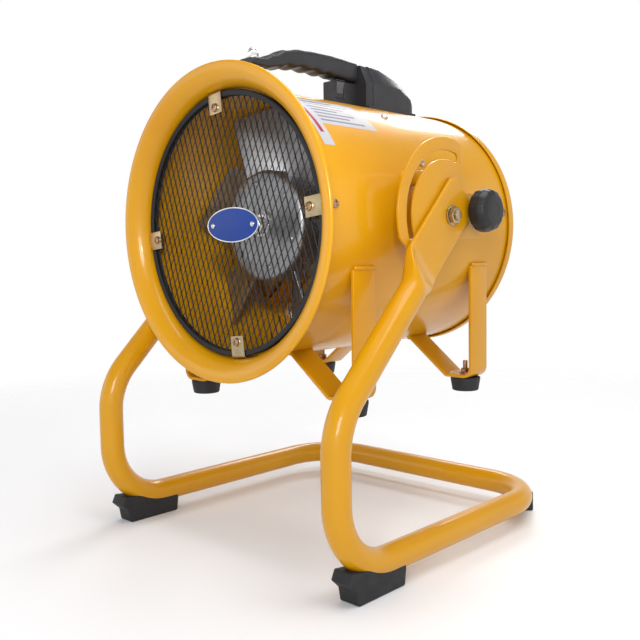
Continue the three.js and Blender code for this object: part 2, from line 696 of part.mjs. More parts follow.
// Circular arc that rounds a corner between two straight runs.
class Bend extends THREE.Curve {
  constructor(corner, before, after, radius) {
    super();
    this.inward = before.clone().sub(corner).normalize();
    this.outward = after.clone().sub(corner).normalize();
    const half = this.inward.angleTo(this.outward) / 2;
    this.setback = radius / Math.tan(half);
    this.radius = radius;
    this.sweep = Math.PI - 2 * half;
    const toCentre = this.inward.clone().add(this.outward).normalize();
    this.centre = corner.clone().addScaledVector(toCentre, radius / Math.sin(half));
    this.start = corner.clone().addScaledVector(this.inward, this.setback);
    this.end = corner.clone().addScaledVector(this.outward, this.setback);
  }

  getPoint(t, target = new THREE.Vector3()) {
    const spoke = this.start.clone().sub(this.centre);
    const travel = this.inward.clone().multiplyScalar(-this.radius);
    const angle = t * this.sweep;
    return target.copy(this.centre)
      .addScaledVector(spoke, Math.cos(angle)).addScaledVector(travel, Math.sin(angle));
  }
}

function roundedPath(points, radii) {
  const path = new THREE.CurvePath();
  let from = points[0];
  for (let i = 1; i < points.length - 1; i += 1) {
    const arc = new Bend(points[i], points[i - 1], points[i + 1], radii[i - 1]);
    path.add(new THREE.LineCurve3(from, arc.start));
    path.add(arc);
    from = arc.end;
  }
  path.add(new THREE.LineCurve3(from, points[points.length - 1]));
  return path;
}

// The sloping arm rises at 45 degrees from the knee to the pivot.
const armAngle = Math.PI / 4;
const kneeZ = pivot.z - (pivot.y - tube.front);
const armPoint = (u, v, x) => vec(
  x, pivot.y + u * Math.cos(armAngle) - v * Math.sin(armAngle),
  pivot.z + u * Math.sin(armAngle) + v * Math.cos(armAngle));

// Flattened end of the tube: round at its lower end, then a flat bar with a rounded tip.
function flattenedArm() {
  const flatX = arm.inner + arm.thickness / 2;
  const stations = [
    // distance from the pivot, half width, half thickness, middle, squareness
    [arm.roundEnd - 8, tube.radius, tube.radius, tube.halfSpan, 2],
    [arm.roundEnd, tube.radius, tube.radius, tube.halfSpan, 2],
    [-92, 18.5, 12.5, 187.5, 2.4], [-82, 23, 7.5, 184, 3.4],
    [arm.flatEnd, arm.halfWidth, arm.thickness / 2, flatX, 8],
    [arm.tip - 8, arm.halfWidth, arm.thickness / 2, flatX, 8],
    [arm.tip - 3.8, arm.halfWidth - 1.2, arm.thickness / 2, flatX, 8],
    [arm.tip - 1.2, arm.halfWidth - 3.8, arm.thickness / 2, flatX, 8],
    [arm.tip, arm.halfWidth - 8, arm.thickness / 2, flatX, 8],
  ];
  const loops = stations.map(([u, halfWidth, halfThickness, x, power]) => {
    const loop = [];
    for (let i = 0; i < 16; i += 1) {
      const t = (i / 16) * 2 * Math.PI + Math.PI / 16;
      const squared = (value) => Math.sign(value) * Math.abs(value) ** (2 / power);
      loop.push(armPoint(
        u, halfWidth * squared(Math.cos(t)), x + halfThickness * squared(Math.sin(t))));
    }
    return loop;
  });
  const hole = rod(
    vec(160, pivot.y, pivot.z), vec(210, pivot.y, pivot.z), pivot.boltRadius + 0.5, 16);
  return cut(loft(loops), hole);
}

function standFrame() {
  const { halfSpan, front, rear, level } = tube;
  const half = [
    armPoint(arm.roundEnd - 4, 0, halfSpan), vec(halfSpan, front, kneeZ),
    vec(halfSpan, front, level), vec(halfSpan, rear, level),
  ];
  const mirrored = half.map((p) => vec(-p.x, p.y, p.z)).reverse();
  const path = roundedPath([...half, ...mirrored],
    [bend.knee, bend.front, bend.corner, bend.corner, bend.front, bend.knee]);
  const section = new THREE.Shape().absarc(0, 0, tube.radius, 0, 2 * Math.PI);
  const run = new THREE.ExtrudeGeometry(section, {
    steps: 68, curveSegments: 5, bevelEnabled: false, extrudePath: path,
  });
  return join(run, flattenedArm(), onSide(-1, flattenedArm()));
}

// Rubber block under the tube, drawn along Y with its stepped nose at the low end.
function standFootBlock() {
  const { height, length } = standFoot;
  const outline = new THREE.Shape([
    new THREE.Vector2(0, FLOOR), new THREE.Vector2(length, FLOOR),
    new THREE.Vector2(length + 3, FLOOR + height + 2), new THREE.Vector2(length, FLOOR + height + 8),
    new THREE.Vector2(-8, FLOOR + height + 18), new THREE.Vector2(-13, FLOOR + height + 8),
    new THREE.Vector2(-3, FLOOR + height - 1),
  ]);
  return extrudeAlongX(outline, -standFoot.halfWidth, 2 * standFoot.halfWidth);
}

// Short rubber block under a rear corner of the tube, along the corner's diagonal tangent.
function cornerFootBlock() {
  const { halfLength, x, y, top } = cornerFoot;
  const low = vec(-halfLength, -standFoot.halfWidth, FLOOR);
  const high = vec(halfLength, standFoot.halfWidth, FLOOR + top);
  return block(low, high).rotateZ(-Math.PI / 4).translate(x, y, 0);
}

function tubeSpace() {
  const { halfSpan, front, rear, level } = tube;
  const path = roundedPath([
    vec(halfSpan, front, level + 140), vec(halfSpan, front, level), vec(halfSpan, rear, level),
    vec(-halfSpan, rear, level), vec(-halfSpan, front, level), vec(-halfSpan, front, level + 140),
  ], [bend.front, bend.corner, bend.corner, bend.front]);
  const section = new THREE.Shape().absarc(0, 0, tube.radius + 1.4, 0, 2 * Math.PI);
  return new THREE.ExtrudeGeometry(section, {
    steps: 80, curveSegments: 6, bevelEnabled: false, extrudePath: path,
  });
}

piece("stand_frame", standFrame(), yellowPaint);
const clearTube = tubeSpace();
SIDES.forEach(([name, side]) => {
  const frontFoot = standFootBlock().translate(tube.halfSpan, standFoot.start, 0);
  piece(`stand_foot_front_${name}`, cut(onSide(side, frontFoot), clearTube), rubber);
  piece(`stand_foot_rear_${name}`, cut(onSide(side, cornerFootBlock()), clearTube), rubber);
});

export default fan;
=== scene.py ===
from math import ceil, copysign, cos, pi, radians, sin, sqrt, tan

import bmesh
import bpy
from mathutils import Matrix, Vector


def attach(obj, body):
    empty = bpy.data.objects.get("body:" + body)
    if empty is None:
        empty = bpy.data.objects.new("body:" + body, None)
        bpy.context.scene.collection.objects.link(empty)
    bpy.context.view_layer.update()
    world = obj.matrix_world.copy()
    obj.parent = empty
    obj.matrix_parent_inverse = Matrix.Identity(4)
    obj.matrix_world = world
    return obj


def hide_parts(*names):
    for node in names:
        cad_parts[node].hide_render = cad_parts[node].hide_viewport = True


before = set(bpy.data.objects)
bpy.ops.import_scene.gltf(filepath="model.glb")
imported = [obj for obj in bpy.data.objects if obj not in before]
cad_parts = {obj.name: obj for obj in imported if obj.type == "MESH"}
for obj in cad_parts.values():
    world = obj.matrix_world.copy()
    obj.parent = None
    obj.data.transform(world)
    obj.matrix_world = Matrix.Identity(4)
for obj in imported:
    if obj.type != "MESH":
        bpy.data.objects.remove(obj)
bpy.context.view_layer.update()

# The fan's own frame, in millimetres: Y along the fan axis from the inlet guard, Z up from the axis.
INLET_TO_ORIGIN = 153.0
AXIS_HEIGHT = 364.0
TO_ROW = Matrix.Scale(0.001, 4) @ Matrix.Translation((0, -INLET_TO_ORIGIN, AXIS_HEIGHT))
FLOOR = -AXIS_HEIGHT
SIDES = (("right", 1), ("left", -1))


def add_object(name, data):
    obj = bpy.data.objects.new(name, data)
    bpy.context.scene.collection.objects.link(obj)
    return obj


# ---- Camera ----

CAMERA_TURNS = (43.694, 4.432, -0.938)  # azimuth, elevation and roll, in degrees
CAMERA_PLACE = (0.691, -0.7367, 0.3284)
LENS = 46.13


def make_camera():
    azimuth, elevation, roll = (radians(v) for v in CAMERA_TURNS)
    back = Vector((
        sin(azimuth) * cos(elevation),
        -cos(azimuth) * cos(elevation),
        sin(elevation)))
    level = Vector((cos(azimuth), sin(azimuth), 0))
    upright = back.cross(level)
    right = cos(roll) * level + sin(roll) * upright
    up = -sin(roll) * level + cos(roll) * upright
    data = bpy.data.cameras.new("camera")
    data.sensor_width = 36
    data.lens = LENS
    data.clip_start = 0.01
    camera = add_object("camera", data)
    camera.matrix_world = (
        Matrix.Translation(CAMERA_PLACE) @ Matrix((right, up, back)).transposed().to_4x4())
    bpy.context.scene.camera = camera


make_camera()


# ---- Materials ----

def set_stops(node, stops):
    """Gives a colour ramp its (position, colour) stops."""
    elements = node.color_ramp.elements
    while len(elements) < len(stops):
        elements.new(0.5)
    for element, (position, colour) in zip(elements, stops):
        element.position = position
        element.color = (*colour, 1.0)


class Nodes:
    """Builds a material's node tree step by step."""

    def __init__(self, name, roughness, metallic=0.0, coat=0.0, coat_roughness=0.05, specular=0.5):
        self.material = bpy.data.materials.new(name)
        self.material.use_nodes = True
        self.tree = self.material.node_tree
        self.shader = self.tree.nodes["Principled BSDF"]
        for key, value in (
                ("Roughness", roughness), ("Metallic", metallic), ("Coat Weight", coat),
                ("Coat Roughness", coat_roughness), ("Specular IOR Level", specular)):
            self.shader.inputs[key].default_value = value
        self.place = self.add("ShaderNodeTexCoord").outputs["Object"]

    def add(self, kind, values=(), **settings):
        """Adds a node with (input, value) pairs and its other settings."""
        node = self.tree.nodes.new(kind)
        for key, value in settings.items():
            setattr(node, key, value)
        for key, value in values:
            node.inputs[key].default_value = value
        return node

    def link(self, source, target):
        self.tree.links.new(source, target)

    def noise(self, scale, detail, stretch=(1, 1, 1)):
        mapping = self.add("ShaderNodeMapping", [("Scale", stretch)])
        self.link(self.place, mapping.inputs["Vector"])
        noise = self.add("ShaderNodeTexNoise", [("Scale", scale), ("Detail", detail)])
        self.link(mapping.outputs["Vector"], noise.inputs["Vector"])
        return noise.outputs["Fac"]

    def ramp(self, value, *stops):
        ramp = self.add("ShaderNodeValToRGB")
        set_stops(ramp, stops)
        self.link(value, ramp.inputs["Fac"])
        return ramp.outputs["Color"]

    def span(self, value, low, high, start=0.3, end=0.7):
        node = self.add("ShaderNodeMapRange", [
            ("From Min", start), ("From Max", end), ("To Min", low), ("To Max", high)])
        self.link(value, node.inputs["Value"])
        return node.outputs["Result"]

    def mix(self, factor, first, second):
        node = self.add("ShaderNodeMix", data_type="RGBA")
        self.link(factor, node.inputs["Factor"])
        for socket, value in ((node.inputs["A"], first), (node.inputs["B"], second)):
            if isinstance(value, tuple):
                socket.default_value = (*value, 1.0)
            else:
                self.link(value, socket)
        return node.outputs["Result"]

    def colour(self, source):
        self.link(source, self.shader.inputs["Base Color"])

    def roughness(self, source):
        self.link(source, self.shader.inputs["Roughness"])

    def bump(self, height, strength, distance):
        node = self.add("ShaderNodeBump", [("Strength", strength), ("Distance", distance)])
        self.link(height, node.inputs["Height"])
        last = self.shader.inputs["Normal"].links
        if last:
            self.link(last[0].from_socket, node.inputs["Normal"])
        self.link(node.outputs["Normal"], self.shader.inputs["Normal"])


def shade(colour, factor):
    return tuple(min(1.0, c * factor) for c in colour)


def enamel(name, colour, roughness=0.32, coat=0.32):
    """Sprayed gloss enamel: faint cloudiness, orange peel and a few dust nibs."""
    nodes = Nodes(name, roughness, coat=coat, coat_roughness=0.045, specular=0.25)
    cloud = nodes.noise(9.0, 4.0)
    warm = (colour[0], colour[1] * 0.93, colour[2] * 0.8)
    base = nodes.ramp(cloud, (0.25, shade(warm, 0.95)), (0.5, colour), (0.78, shade(colour, 1.04)))
    dust = nodes.ramp(nodes.noise(420.0, 2.0), (0.72, (0, 0, 0)), (0.82, (1, 1, 1)))
    nodes.colour(nodes.mix(dust, base, shade(colour, 0.93)))
    nodes.roughness(nodes.span(nodes.noise(34.0, 5.0), roughness - 0.02, roughness + 0.03))
    nodes.bump(nodes.noise(520.0, 2.0), 0.07, 0.0006)
    nodes.bump(nodes.noise(26.0, 2.0), 0.02, 0.002)
    return nodes.material


def metal(name, colour, roughness, streak=(1, 1, 1), grain=900.0, spread=0.1, tint=None):
    """Bare or plated metal: brushed streaks, cloudy tarnish."""
    nodes = Nodes(name, roughness, metallic=1.0)
    cloud = nodes.noise(60.0, 4.0)
    nodes.colour(nodes.ramp(
        cloud, (0.3, shade(colour, 0.8)), (0.55, colour), (0.75, tint or shade(colour, 1.1))))
    streaks = nodes.noise(grain, 3.0, streak)
    nodes.roughness(nodes.span(streaks, roughness - spread, roughness + spread))
    nodes.bump(streaks, 0.12, 0.0004)
    return nodes.material


def moulded(name, colour, roughness, grain=1500.0, strength=0.22):
    """Moulded plastic or rubber with a fine spark-eroded grain and handling marks."""
    nodes = Nodes(name, roughness, specular=0.45)
    cloud = nodes.noise(22.0, 4.0)
    base = nodes.ramp(cloud, (0.3, shade(colour, 0.82)), (0.7, shade(colour, 1.2)))
    speck = nodes.ramp(nodes.noise(grain * 0.6, 2.0), (0.62, (0, 0, 0)), (0.78, (1, 1, 1)))
    nodes.colour(nodes.mix(speck, base, shade(colour, 1.6)))
    nodes.roughness(nodes.span(nodes.noise(70.0, 5.0), roughness - 0.08, roughness + 0.1))
    nodes.bump(nodes.noise(grain, 2.0), strength, 0.0004)
    return nodes.material


YELLOW = (0.58, 0.272, 0.001)
MATERIALS = {
    "yellow": enamel("yellow_enamel", YELLOW),
    "motor": enamel("motor_enamel", (0.022, 0.023, 0.027), 0.42, 0.2),
    "mesh": enamel("guard_enamel", (0.014, 0.014, 0.016), 0.55, 0.0),
    "aluminium": metal("spun_aluminium", (0.36, 0.36, 0.37), 0.46, (1, 6, 1), 420.0),
    "zinc": metal("bright_zinc", (0.72, 0.72, 0.71), 0.26),
    "chromate": metal("chromate_zinc", (0.46, 0.37, 0.22), 0.32, tint=(0.54, 0.34, 0.27)),
    "bronze": metal("dark_chromate", (0.42, 0.27, 0.16), 0.34, tint=(0.55, 0.40, 0.28)),
    "can": metal("drawn_can", (0.70, 0.71, 0.72), 0.34, (1, 1, 9)),
    "plastic": moulded("black_plastic", (0.019, 0.019, 0.022), 0.40, strength=0.14),
    "knob": moulded("knob_black", (0.010, 0.010, 0.011), 0.46, strength=0.14),
    "switch_light": moulded("switch_light", (0.085, 0.087, 0.095), 0.28, 2400.0, 0.08),
    "rubber": moulded("black_rubber", (0.011, 0.011, 0.013), 0.62, 900.0, 0.3),
    "blue": enamel("plate_blue", (0.004, 0.030, 0.19), 0.42, 0.05),
    "sticker": enamel("sticker_white", (0.42, 0.42, 0.46), 0.40, 0.1),
    "print_grey": enamel("print_grey", (0.16, 0.16, 0.19), 0.40, 0.1),
    "print_red": enamel("print_red", (0.30, 0.012, 0.022), 0.40, 0.1),
}


# ---- Forms ----

def fillet(points, radius, steps=4, closed=True):
    """Rounds the corners of an outline. The radius is one number, or one for each corner."""
    points = [Vector(p) for p in points]
    count = len(points)
    result = []
    for i, corner in enumerate(points):
        size = radius[i] if isinstance(radius, (list, tuple)) else radius
        to_last = points[i - 1] - corner
        to_next = points[(i + 1) % count] - corner
        is_end = not closed and i in (0, count - 1)
        if is_end or size <= 0 or to_last.angle(to_next) > pi - 0.03:
            result.append(corner)
            continue
        half = to_last.angle(to_next) / 2
        setback = min(size / tan(half), 0.48 * to_last.length, 0.48 * to_next.length)
        size = setback * tan(half)
        inwards = (to_last.normalized() + to_next.normalized()).normalized()
        centre = corner + inwards * (size / sin(half))
        first = corner + to_last.normalized() * setback - centre
        last = corner + to_next.normalized() * setback - centre
        sweep = first.angle(last)
        for k in range(steps + 1):
            t = k / steps
            result.append(centre + (first * sin((1 - t) * sweep) + last * sin(t * sweep)) / sin(sweep))
    return result


def rounded_rectangle(half_width, half_height, radius, steps=4):
    corners = [(half_width, -half_height), (half_width, half_height),
               (-half_width, half_height), (-half_width, -half_height)]
    return fillet(corners, radius, steps)


def round_angles(steps):
    return [2 * pi * i / steps for i in range(steps)]


def oval(half_width, half_height):
    return [Vector((half_width * cos(t), half_height * sin(t))) for t in round_angles(72)]


def swell(value, power):
    """Raises a sine or cosine to a power, with its sign kept: under 1 the round goes square."""
    return copysign(abs(value) ** power, value)


def between(low, high, t):
    return low + (high - low) * t


def turn(degrees):
    """A turn about the fan axis, from +X towards +Z."""
    return Matrix.Rotation(-radians(degrees), 4, "Y")


def spin_frame(origin, axis):
    """A matrix whose Z runs along the axis from the origin."""
    axis = Vector(axis).normalized()
    return Matrix.Translation(origin) @ axis.to_track_quat("Z", "Y").to_matrix().to_4x4()


# Outlines drawn in a plane: X-Z seen along Y, and Y-Z seen along X.
ALONG_Y = Matrix(((1, 0, 0, 0), (0, 0, 1, 0), (0, 1, 0, 0), (0, 0, 0, 1)))
ALONG_X = Matrix(((0, 0, 1, 0), (1, 0, 0, 0), (0, 1, 0, 0), (0, 0, 0, 1)))


class Form:
    """A mesh built up in the fan's frame, in millimetres, then placed as one piece."""

    def __init__(self):
        self.bm = bmesh.new()

    def skin(self, loops, capped=True, ring=False):
        """Joins equal closed loops of points one after another."""
        rows = [[self.bm.verts.new(p) for p in loop] for loop in loops]
        pairs = list(zip(rows, rows[1:])) + ([(rows[-1], rows[0])] if ring else [])
        count = len(loops[0])
        for a, b in pairs:
            for i in range(count):
                j = (i + 1) % count
                self.bm.faces.new((a[i], a[j], b[j], b[i]))
        if capped and not ring:
            self.bm.faces.new(list(reversed(rows[0])))
            self.bm.faces.new(rows[-1])
        return self

    def revolve(self, profile, place=None, steps=64, ring=False, lobes=0, depth=0.0):
        """Turns a profile of (radius, distance) about the Z of place."""
        place = place or spin_frame((0, 0, 0), (0, 1, 0))
        loops = []
        for radius, along in profile:
            loop = []
            for t in round_angles(steps):
                dip = 1 - depth * (0.5 + 0.5 * cos(lobes * t)) if lobes else 1
                loop.append(place @ Vector((radius * dip * cos(t), radius * dip * sin(t), along)))
            loops.append(loop)
        return self.skin(loops, capped=not ring, ring=ring)

    def rod(self, start, end, radius, chamfer=0.4, steps=32):
        """A round bar with rounded rims."""
        start, end = Vector(start), Vector(end)
        length = (end - start).length
        profile = fillet([(0, 0), (radius, 0), (radius, length), (0, length)],
                         [0, chamfer, chamfer, 0], 3)
        return self.revolve(profile, spin_frame(start, end - start), steps)

    def hexagon(self, start, end, radius):
        """A hexagon nut or bolt head with turned-off corners."""
        place = spin_frame(start, Vector(end) - Vector(start))
        length = (Vector(end) - Vector(start)).length
        loops = []
        for inset, along in ((0.10, 0), (0, 0.12), (0, 0.84), (0.12, 1)):
            loops.append([place @ Vector((
                radius * (1 - inset) * cos(t), radius * (1 - inset) * sin(t), along * length))
                for t in round_angles(6)])
        return self.skin(loops)

    def sweep(self, path, section, across):
        """Runs a closed section (u, v) along a path in one plane; v points along across."""
        path = [Vector(p) for p in path]
        across = Vector(across).normalized()
        loops = []
        for i, point in enumerate(path):
            before = (point - path[i - 1]).normalized() if i else None
            after = (path[i + 1] - point).normalized() if i < len(path) - 1 else None
            tangent = ((before or after) + (after or before)).normalized()
            side = across.cross(tangent).normalized()
            lean = (before or after).dot(tangent)
            loops.append([point + side * (u / max(lean, 0.5)) + across * v for u, v in section])
        return self.skin(loops)

    def plate(self, outline, start, thickness, place, holes=(), bevel=0.3, smooth=2):
        """A flat plate with holes and rounded rims, cut from sheet."""
        curve = bpy.data.curves.new("outline", "CURVE")
        curve.dimensions = "2D"
        curve.fill_mode = "BOTH"
        curve.bevel_depth = bevel
        curve.bevel_resolution = smooth
        curve.offset = -bevel
        curve.extrude = thickness / 2 - bevel
        for ring in (outline, *holes):
            spline = curve.splines.new("POLY")
            spline.points.add(len(ring) - 1)
            spline.use_cyclic_u = True
            for point, (u, v) in zip(spline.points, ring):
                point.co = (u, v, 0, 1)
        holder = add_object("outline", curve)
        mesh = bpy.data.meshes.new_from_object(
            holder.evaluated_get(bpy.context.evaluated_depsgraph_get()))
        mesh.transform(place @ Matrix.Translation((0, 0, start + thickness / 2)))
        self.bm.from_mesh(mesh)
        bpy.data.objects.remove(holder)
        bpy.data.curves.remove(curve)
        bpy.data.meshes.remove(mesh)
        return self

    def add(self, other, *places):
        """Adds copies of another form, each moved by its own matrix."""
        mesh = bpy.data.meshes.new("copy")
        for place in places or (Matrix.Identity(4),):
            other.bm.to_mesh(mesh)
            mesh.transform(place)
            self.bm.from_mesh(mesh)
        bpy.data.meshes.remove(mesh)
        return self

    def cut(self, other):
        """Takes another form away from this one."""
        holders = []
        for form in (self, other):
            bmesh.ops.remove_doubles(form.bm, verts=form.bm.verts, dist=1e-4)
            bmesh.ops.recalc_face_normals(form.bm, faces=form.bm.faces)
            mesh = bpy.data.meshes.new("part")
            form.bm.to_mesh(mesh)
            holders.append(add_object("part", mesh))
        modifier = holders[0].modifiers.new("cut", "BOOLEAN")
        modifier.object = holders[1]
        modifier.operation = "DIFFERENCE"
        modifier.solver = "EXACT"
        bpy.context.view_layer.update()
        mesh = bpy.data.meshes.new_from_object(
            holders[0].evaluated_get(bpy.context.evaluated_depsgraph_get()))
        self.bm.clear()
        self.bm.from_mesh(mesh)
        for holder in holders:
            bpy.data.objects.remove(holder)
        bpy.data.meshes.remove(mesh)
        return self

    def piece(self, name, material, slot, replaces=None, body="housing", side=1, place=None,
              bevel=0.0, angle=32):
        """Places the form in the row frame as one named piece; side -1 mirrors it to the left."""
        mesh = bpy.data.meshes.new(name)
        bmesh.ops.remove_doubles(self.bm, verts=self.bm.verts, dist=1e-4)
        self.bm.to_mesh(mesh)
        mesh.transform(TO_ROW @ Matrix.Diagonal((side, 1, 1, 1)) @ (place or Matrix.Identity(4)))
        work = bmesh.new()
        work.from_mesh(mesh)
        bmesh.ops.recalc_face_normals(work, faces=work.faces)
        work.to_mesh(mesh)
        work.free()
        mesh.shade_smooth()
        mesh.set_sharp_from_angle(angle=radians(angle))
        mesh.materials.append(MATERIALS[material])
        obj = add_object(name, mesh)
        if bevel:
            modifier = obj.modifiers.new("bevel", "BEVEL")
            modifier.width = bevel * 0.001
            modifier.segments = 2
            modifier.limit_method = "ANGLE"
            modifier.angle_limit = radians(30)
            modifier.harden_normals = True
        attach(obj, body)
        if replaces:
            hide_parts(replaces)


# ---- Fasteners ----

def pan_screw(radius, height):
    """A pan head with a cross recess, standing on Z = 0."""
    head = Form().revolve(
        [(0, 0), (radius, 0), (radius, height * 0.25), (radius * 0.93, height * 0.6),
         (radius * 0.72, height * 0.88), (radius * 0.4, height * 0.98), (0, height)],
        Matrix.Identity(4), 28)
    for quarter in (0, 90):
        spun = Matrix.Rotation(radians(quarter), 4, "Z")
        loops = []
        for along, half in ((height * 0.45, 0.10), (height * 1.3, 0.16)):
            loops.append([spun @ Vector((u * radius * 0.62, v * radius, along))
                          for u, v in ((-1, -half), (1, -half), (1, half), (-1, half))])
        head.cut(Form().skin(loops))
    return head


def hex_bolt(radius, height, washer):
    """A hexagon head on its washer, standing on Z = 0."""
    base = 1.6
    form = Form().rod((0, 0, 0), (0, 0, base), washer, 0.35, 40)
    form.hexagon((0, 0, base), (0, 0, base + height), radius)
    form.rod((0, 0, base + height - 0.6), (0, 0, base + height + 0.35), radius * 0.66, 0.3, 24)
    return form


SCREW = pan_screw(4.6, 2.7)
SMALL_BOLT = hex_bolt(5.2, 3.8, 6.4)


# ---- Barrel ----

BARREL, WALL = 148.0, 146.0  # outer and inner radius
BARREL_REAR = 334.5
FLARE, FLARE_DEPTH, FLARE_START = 21.3, 24.0, 2.0
BEAD = 2.4  # radius of the bell mouth's rolled edge


def barrel():
    """Rolled shell with a spun bell mouth."""
    inside, outside, bead = [], [], []
    steps = 22
    sheet = BARREL - WALL
    for i in range(steps + 1):
        t = (i / steps) * pi / 2
        radius = WALL + FLARE * (1 - cos(t))
        along = FLARE_START - FLARE_DEPTH * sin(t)
        inside.append((radius, along))
        outside.append((radius + sheet * cos(t), along + sheet * sin(t)))
    for i in range(11):
        t = radians(-80 + 18 * i)
        bead.append((
            WALL + FLARE + 1.4 + BEAD * cos(t),
            FLARE_START - FLARE_DEPTH + BEAD + BEAD * sin(t)))
    profile = [(WALL, BARREL_REAR), (WALL, 200), (WALL, 60), *inside, *bead,
               *reversed(outside[:-1]), (BARREL, 14), (BARREL, 60), (BARREL, 200),
               (BARREL, BARREL_REAR)]
    Form().revolve(profile, steps=192, ring=True).piece(
        "barrel", "yellow", "yellow_enamel", "barrel_shell", angle=40)
    # Lap seam of the rolled sheet, under the barrel.
    seam = Form()
    section = rounded_rectangle(8, 0.8, 0.7, 3)
    seam.skin([[Vector((u, y, -BARREL - 0.2 + v)) for u, v in section] for y in (16, 170, 326)])
    for i in range(14):
        y = 30 + 22 * i
        seam.revolve([(0, 0), (2.6, 0), (2.0, 0.5), (0, 0.7)],
                     spin_frame((3, y, -BARREL - 0.9), (0, 0, -1)), 18)
    seam.piece("barrel_seam", "yellow", "yellow_enamel")


def collar():
    """Ring around the outlet, with a lip that stands inwards."""
    profile = fillet([
        (149.6, 327.2), (151.2, 326.9), (151.5, 328.6), (151.5, 335.8), (150.6, 337.5),
        (143.2, 337.5), (142.0, 336.6), (142.0, 335.4), (148.4, 335.2), (148.4, 331.0),
        (149.2, 330.2)],
        [0.3, 0.6, 1.0, 1.6, 1.2, 0.8, 0.4, 0.3, 0.2, 0.4, 0.3], 4)
    Form().revolve(profile, steps=192, ring=True).piece(
        "collar", "yellow", "yellow_enamel", "outlet_collar", angle=40)


barrel()
collar()


# ---- Guards ----

GUARD_RADIUS = 141.6
PITCH_X, PITCH_Z = 9.3, 19.6
GUARD_TURN = -8.0
GUARDS = {"inlet": 0.0, "outlet": 330.0}
EDGING_INNER, EDGING_OUTER = 137.6, 143.7


def clipped(start, end, radius):
    """The part of a straight run inside a circle, or None."""
    start, end = Vector(start), Vector(end)
    if start.length > radius and end.length > radius:
        return None
    if start.length > radius:
        start, end = end, start
    if end.length > radius:
        run = end - start
        a, b, c = run.dot(run), 2 * start.dot(run), start.dot(start) - radius * radius
        end = start + run * ((-b + sqrt(b * b - 4 * a * c)) / (2 * a))
    return start, end


def guard(name, y):
    """Expanded metal: every strand leans, so the bonds stand on edge."""
    form = Form()
    spun = turn(GUARD_TURN)
    half_width, half_depth = 0.46, 0.34
    columns = int(GUARD_RADIUS / PITCH_X) + 2
    rows = int(GUARD_RADIUS / PITCH_Z) + 2
    for i in range(-2 * columns, 2 * columns + 1):
        for j in range(-2 * rows, 2 * rows + 1):
            if (i + j) % 2:
                continue
            low = Vector((i * PITCH_X / 2, j * PITCH_Z / 2))
            for sign in (-1, 1):
                high = low + Vector((sign * PITCH_X / 2, PITCH_Z / 2))
                run = clipped(low, high, GUARD_RADIUS - 0.2)
                if run is None or (run[1] - run[0]).length < 0.5:
                    continue
                along = (run[1] - run[0]).normalized()
                side = Vector((-along.y, along.x)) * half_width
                loops = []
                middle = (run[0] + run[1]) / 2
                lean = 0.28 * sign * copysign(1, along.y)
                for point, squeeze in ((run[0], 1.15), (middle, 0.9), (run[1], 1.15)):
                    loops.append([spun @ Vector((
                        point.x + u * side.x * squeeze, y + v * half_depth + u * lean,
                        point.y + u * side.y * squeeze))
                        for u, v in ((1, -1), (1, 1), (-1, 1), (-1, -1))])
                form.skin(loops)
    form.piece(f"{name}_guard", "mesh", "dark_mesh", f"{name}_grille", angle=50)


def edging(name, y):
    """Soft channel pushed over the rim of a guard."""
    profile = fillet([
        (EDGING_INNER, y - 3.4), (EDGING_INNER + 1.5, y - 4), (EDGING_OUTER - 1, y - 4),
        (EDGING_OUTER, y - 3), (EDGING_OUTER, y + 3), (EDGING_OUTER - 1, y + 4),
        (EDGING_INNER + 1.5, y + 4), (EDGING_INNER, y + 3.4), (EDGING_INNER, y + 1),
        (GUARD_RADIUS, y + 1), (GUARD_RADIUS, y - 1), (EDGING_INNER, y - 1)], 0.6, 3)
    Form().revolve(profile, steps=176, ring=True).piece(
        f"{name}_edging", "mesh", "dark_edging", f"{name}_grille_edging", angle=40)


CLIP_TURN = 6.0
CLIP_THICKNESS = 1.2
STUD_X = 127.5


def clips(name, y, wall_end, screw_y):
    """Bent plated tabs that hold the guard, each screwed through the barrel."""
    tab_y = y - 4.3 - CLIP_THICKNESS / 2
    bend = fillet([(121.2, tab_y), (144.6, tab_y), (144.6, wall_end)], [0, 2.4, 0], 5, closed=False)
    strip = Form().sweep(
        [(x, along, 0) for x, along in bend], rounded_rectangle(CLIP_THICKNESS / 2, 10.4, 0.35, 2),
        (0, 0, 1))
    dimple = Form().revolve(
        [(0, 0), (5.2, 0), (4.6, 0.7), (3.4, 1.1), (0, 1.1)],
        spin_frame((STUD_X, tab_y - 0.5, 0), (0, -1, 0)), 28)
    head = Form().add(SCREW, spin_frame((STUD_X, tab_y - 1.4, 0), (0, -1, 0)))
    wall_screw = Form().add(SCREW, spin_frame((BARREL + 0.1, screw_y, 0), (1, 0, 0)))
    wall_screw.rod((WALL - 7.5, screw_y, 0), (BARREL + 0.4, screw_y, 0), 2.3, 0.2, 20)
    wall_screw.hexagon((WALL - 2.2, screw_y, 0), (WALL - 5.4, screw_y, 0), 4.2)
    for i in range(4):
        place = turn(CLIP_TURN + 90 * i)
        Form().add(strip).add(dimple).piece(
            f"{name}_clip_{i + 1}_tab", "chromate", "chromated_clip",
            f"{name}_clip_{i + 1}", place=place, angle=35)
        Form().add(head).piece(f"{name}_clip_{i + 1}_stud", "bronze", "zinc", place=place)
        Form().add(wall_screw).piece(
            f"{name}_wall_screw_{i + 1}", "bronze", "zinc",
            f"{name}_clip_screw_{i + 1}", place=place)


for build in (guard, edging):
    for name, y in GUARDS.items():
        build(name, y)
clips("inlet", GUARDS["inlet"], 15.0, 9.0)
clips("outlet", GUARDS["outlet"], 312.0, 318.0)


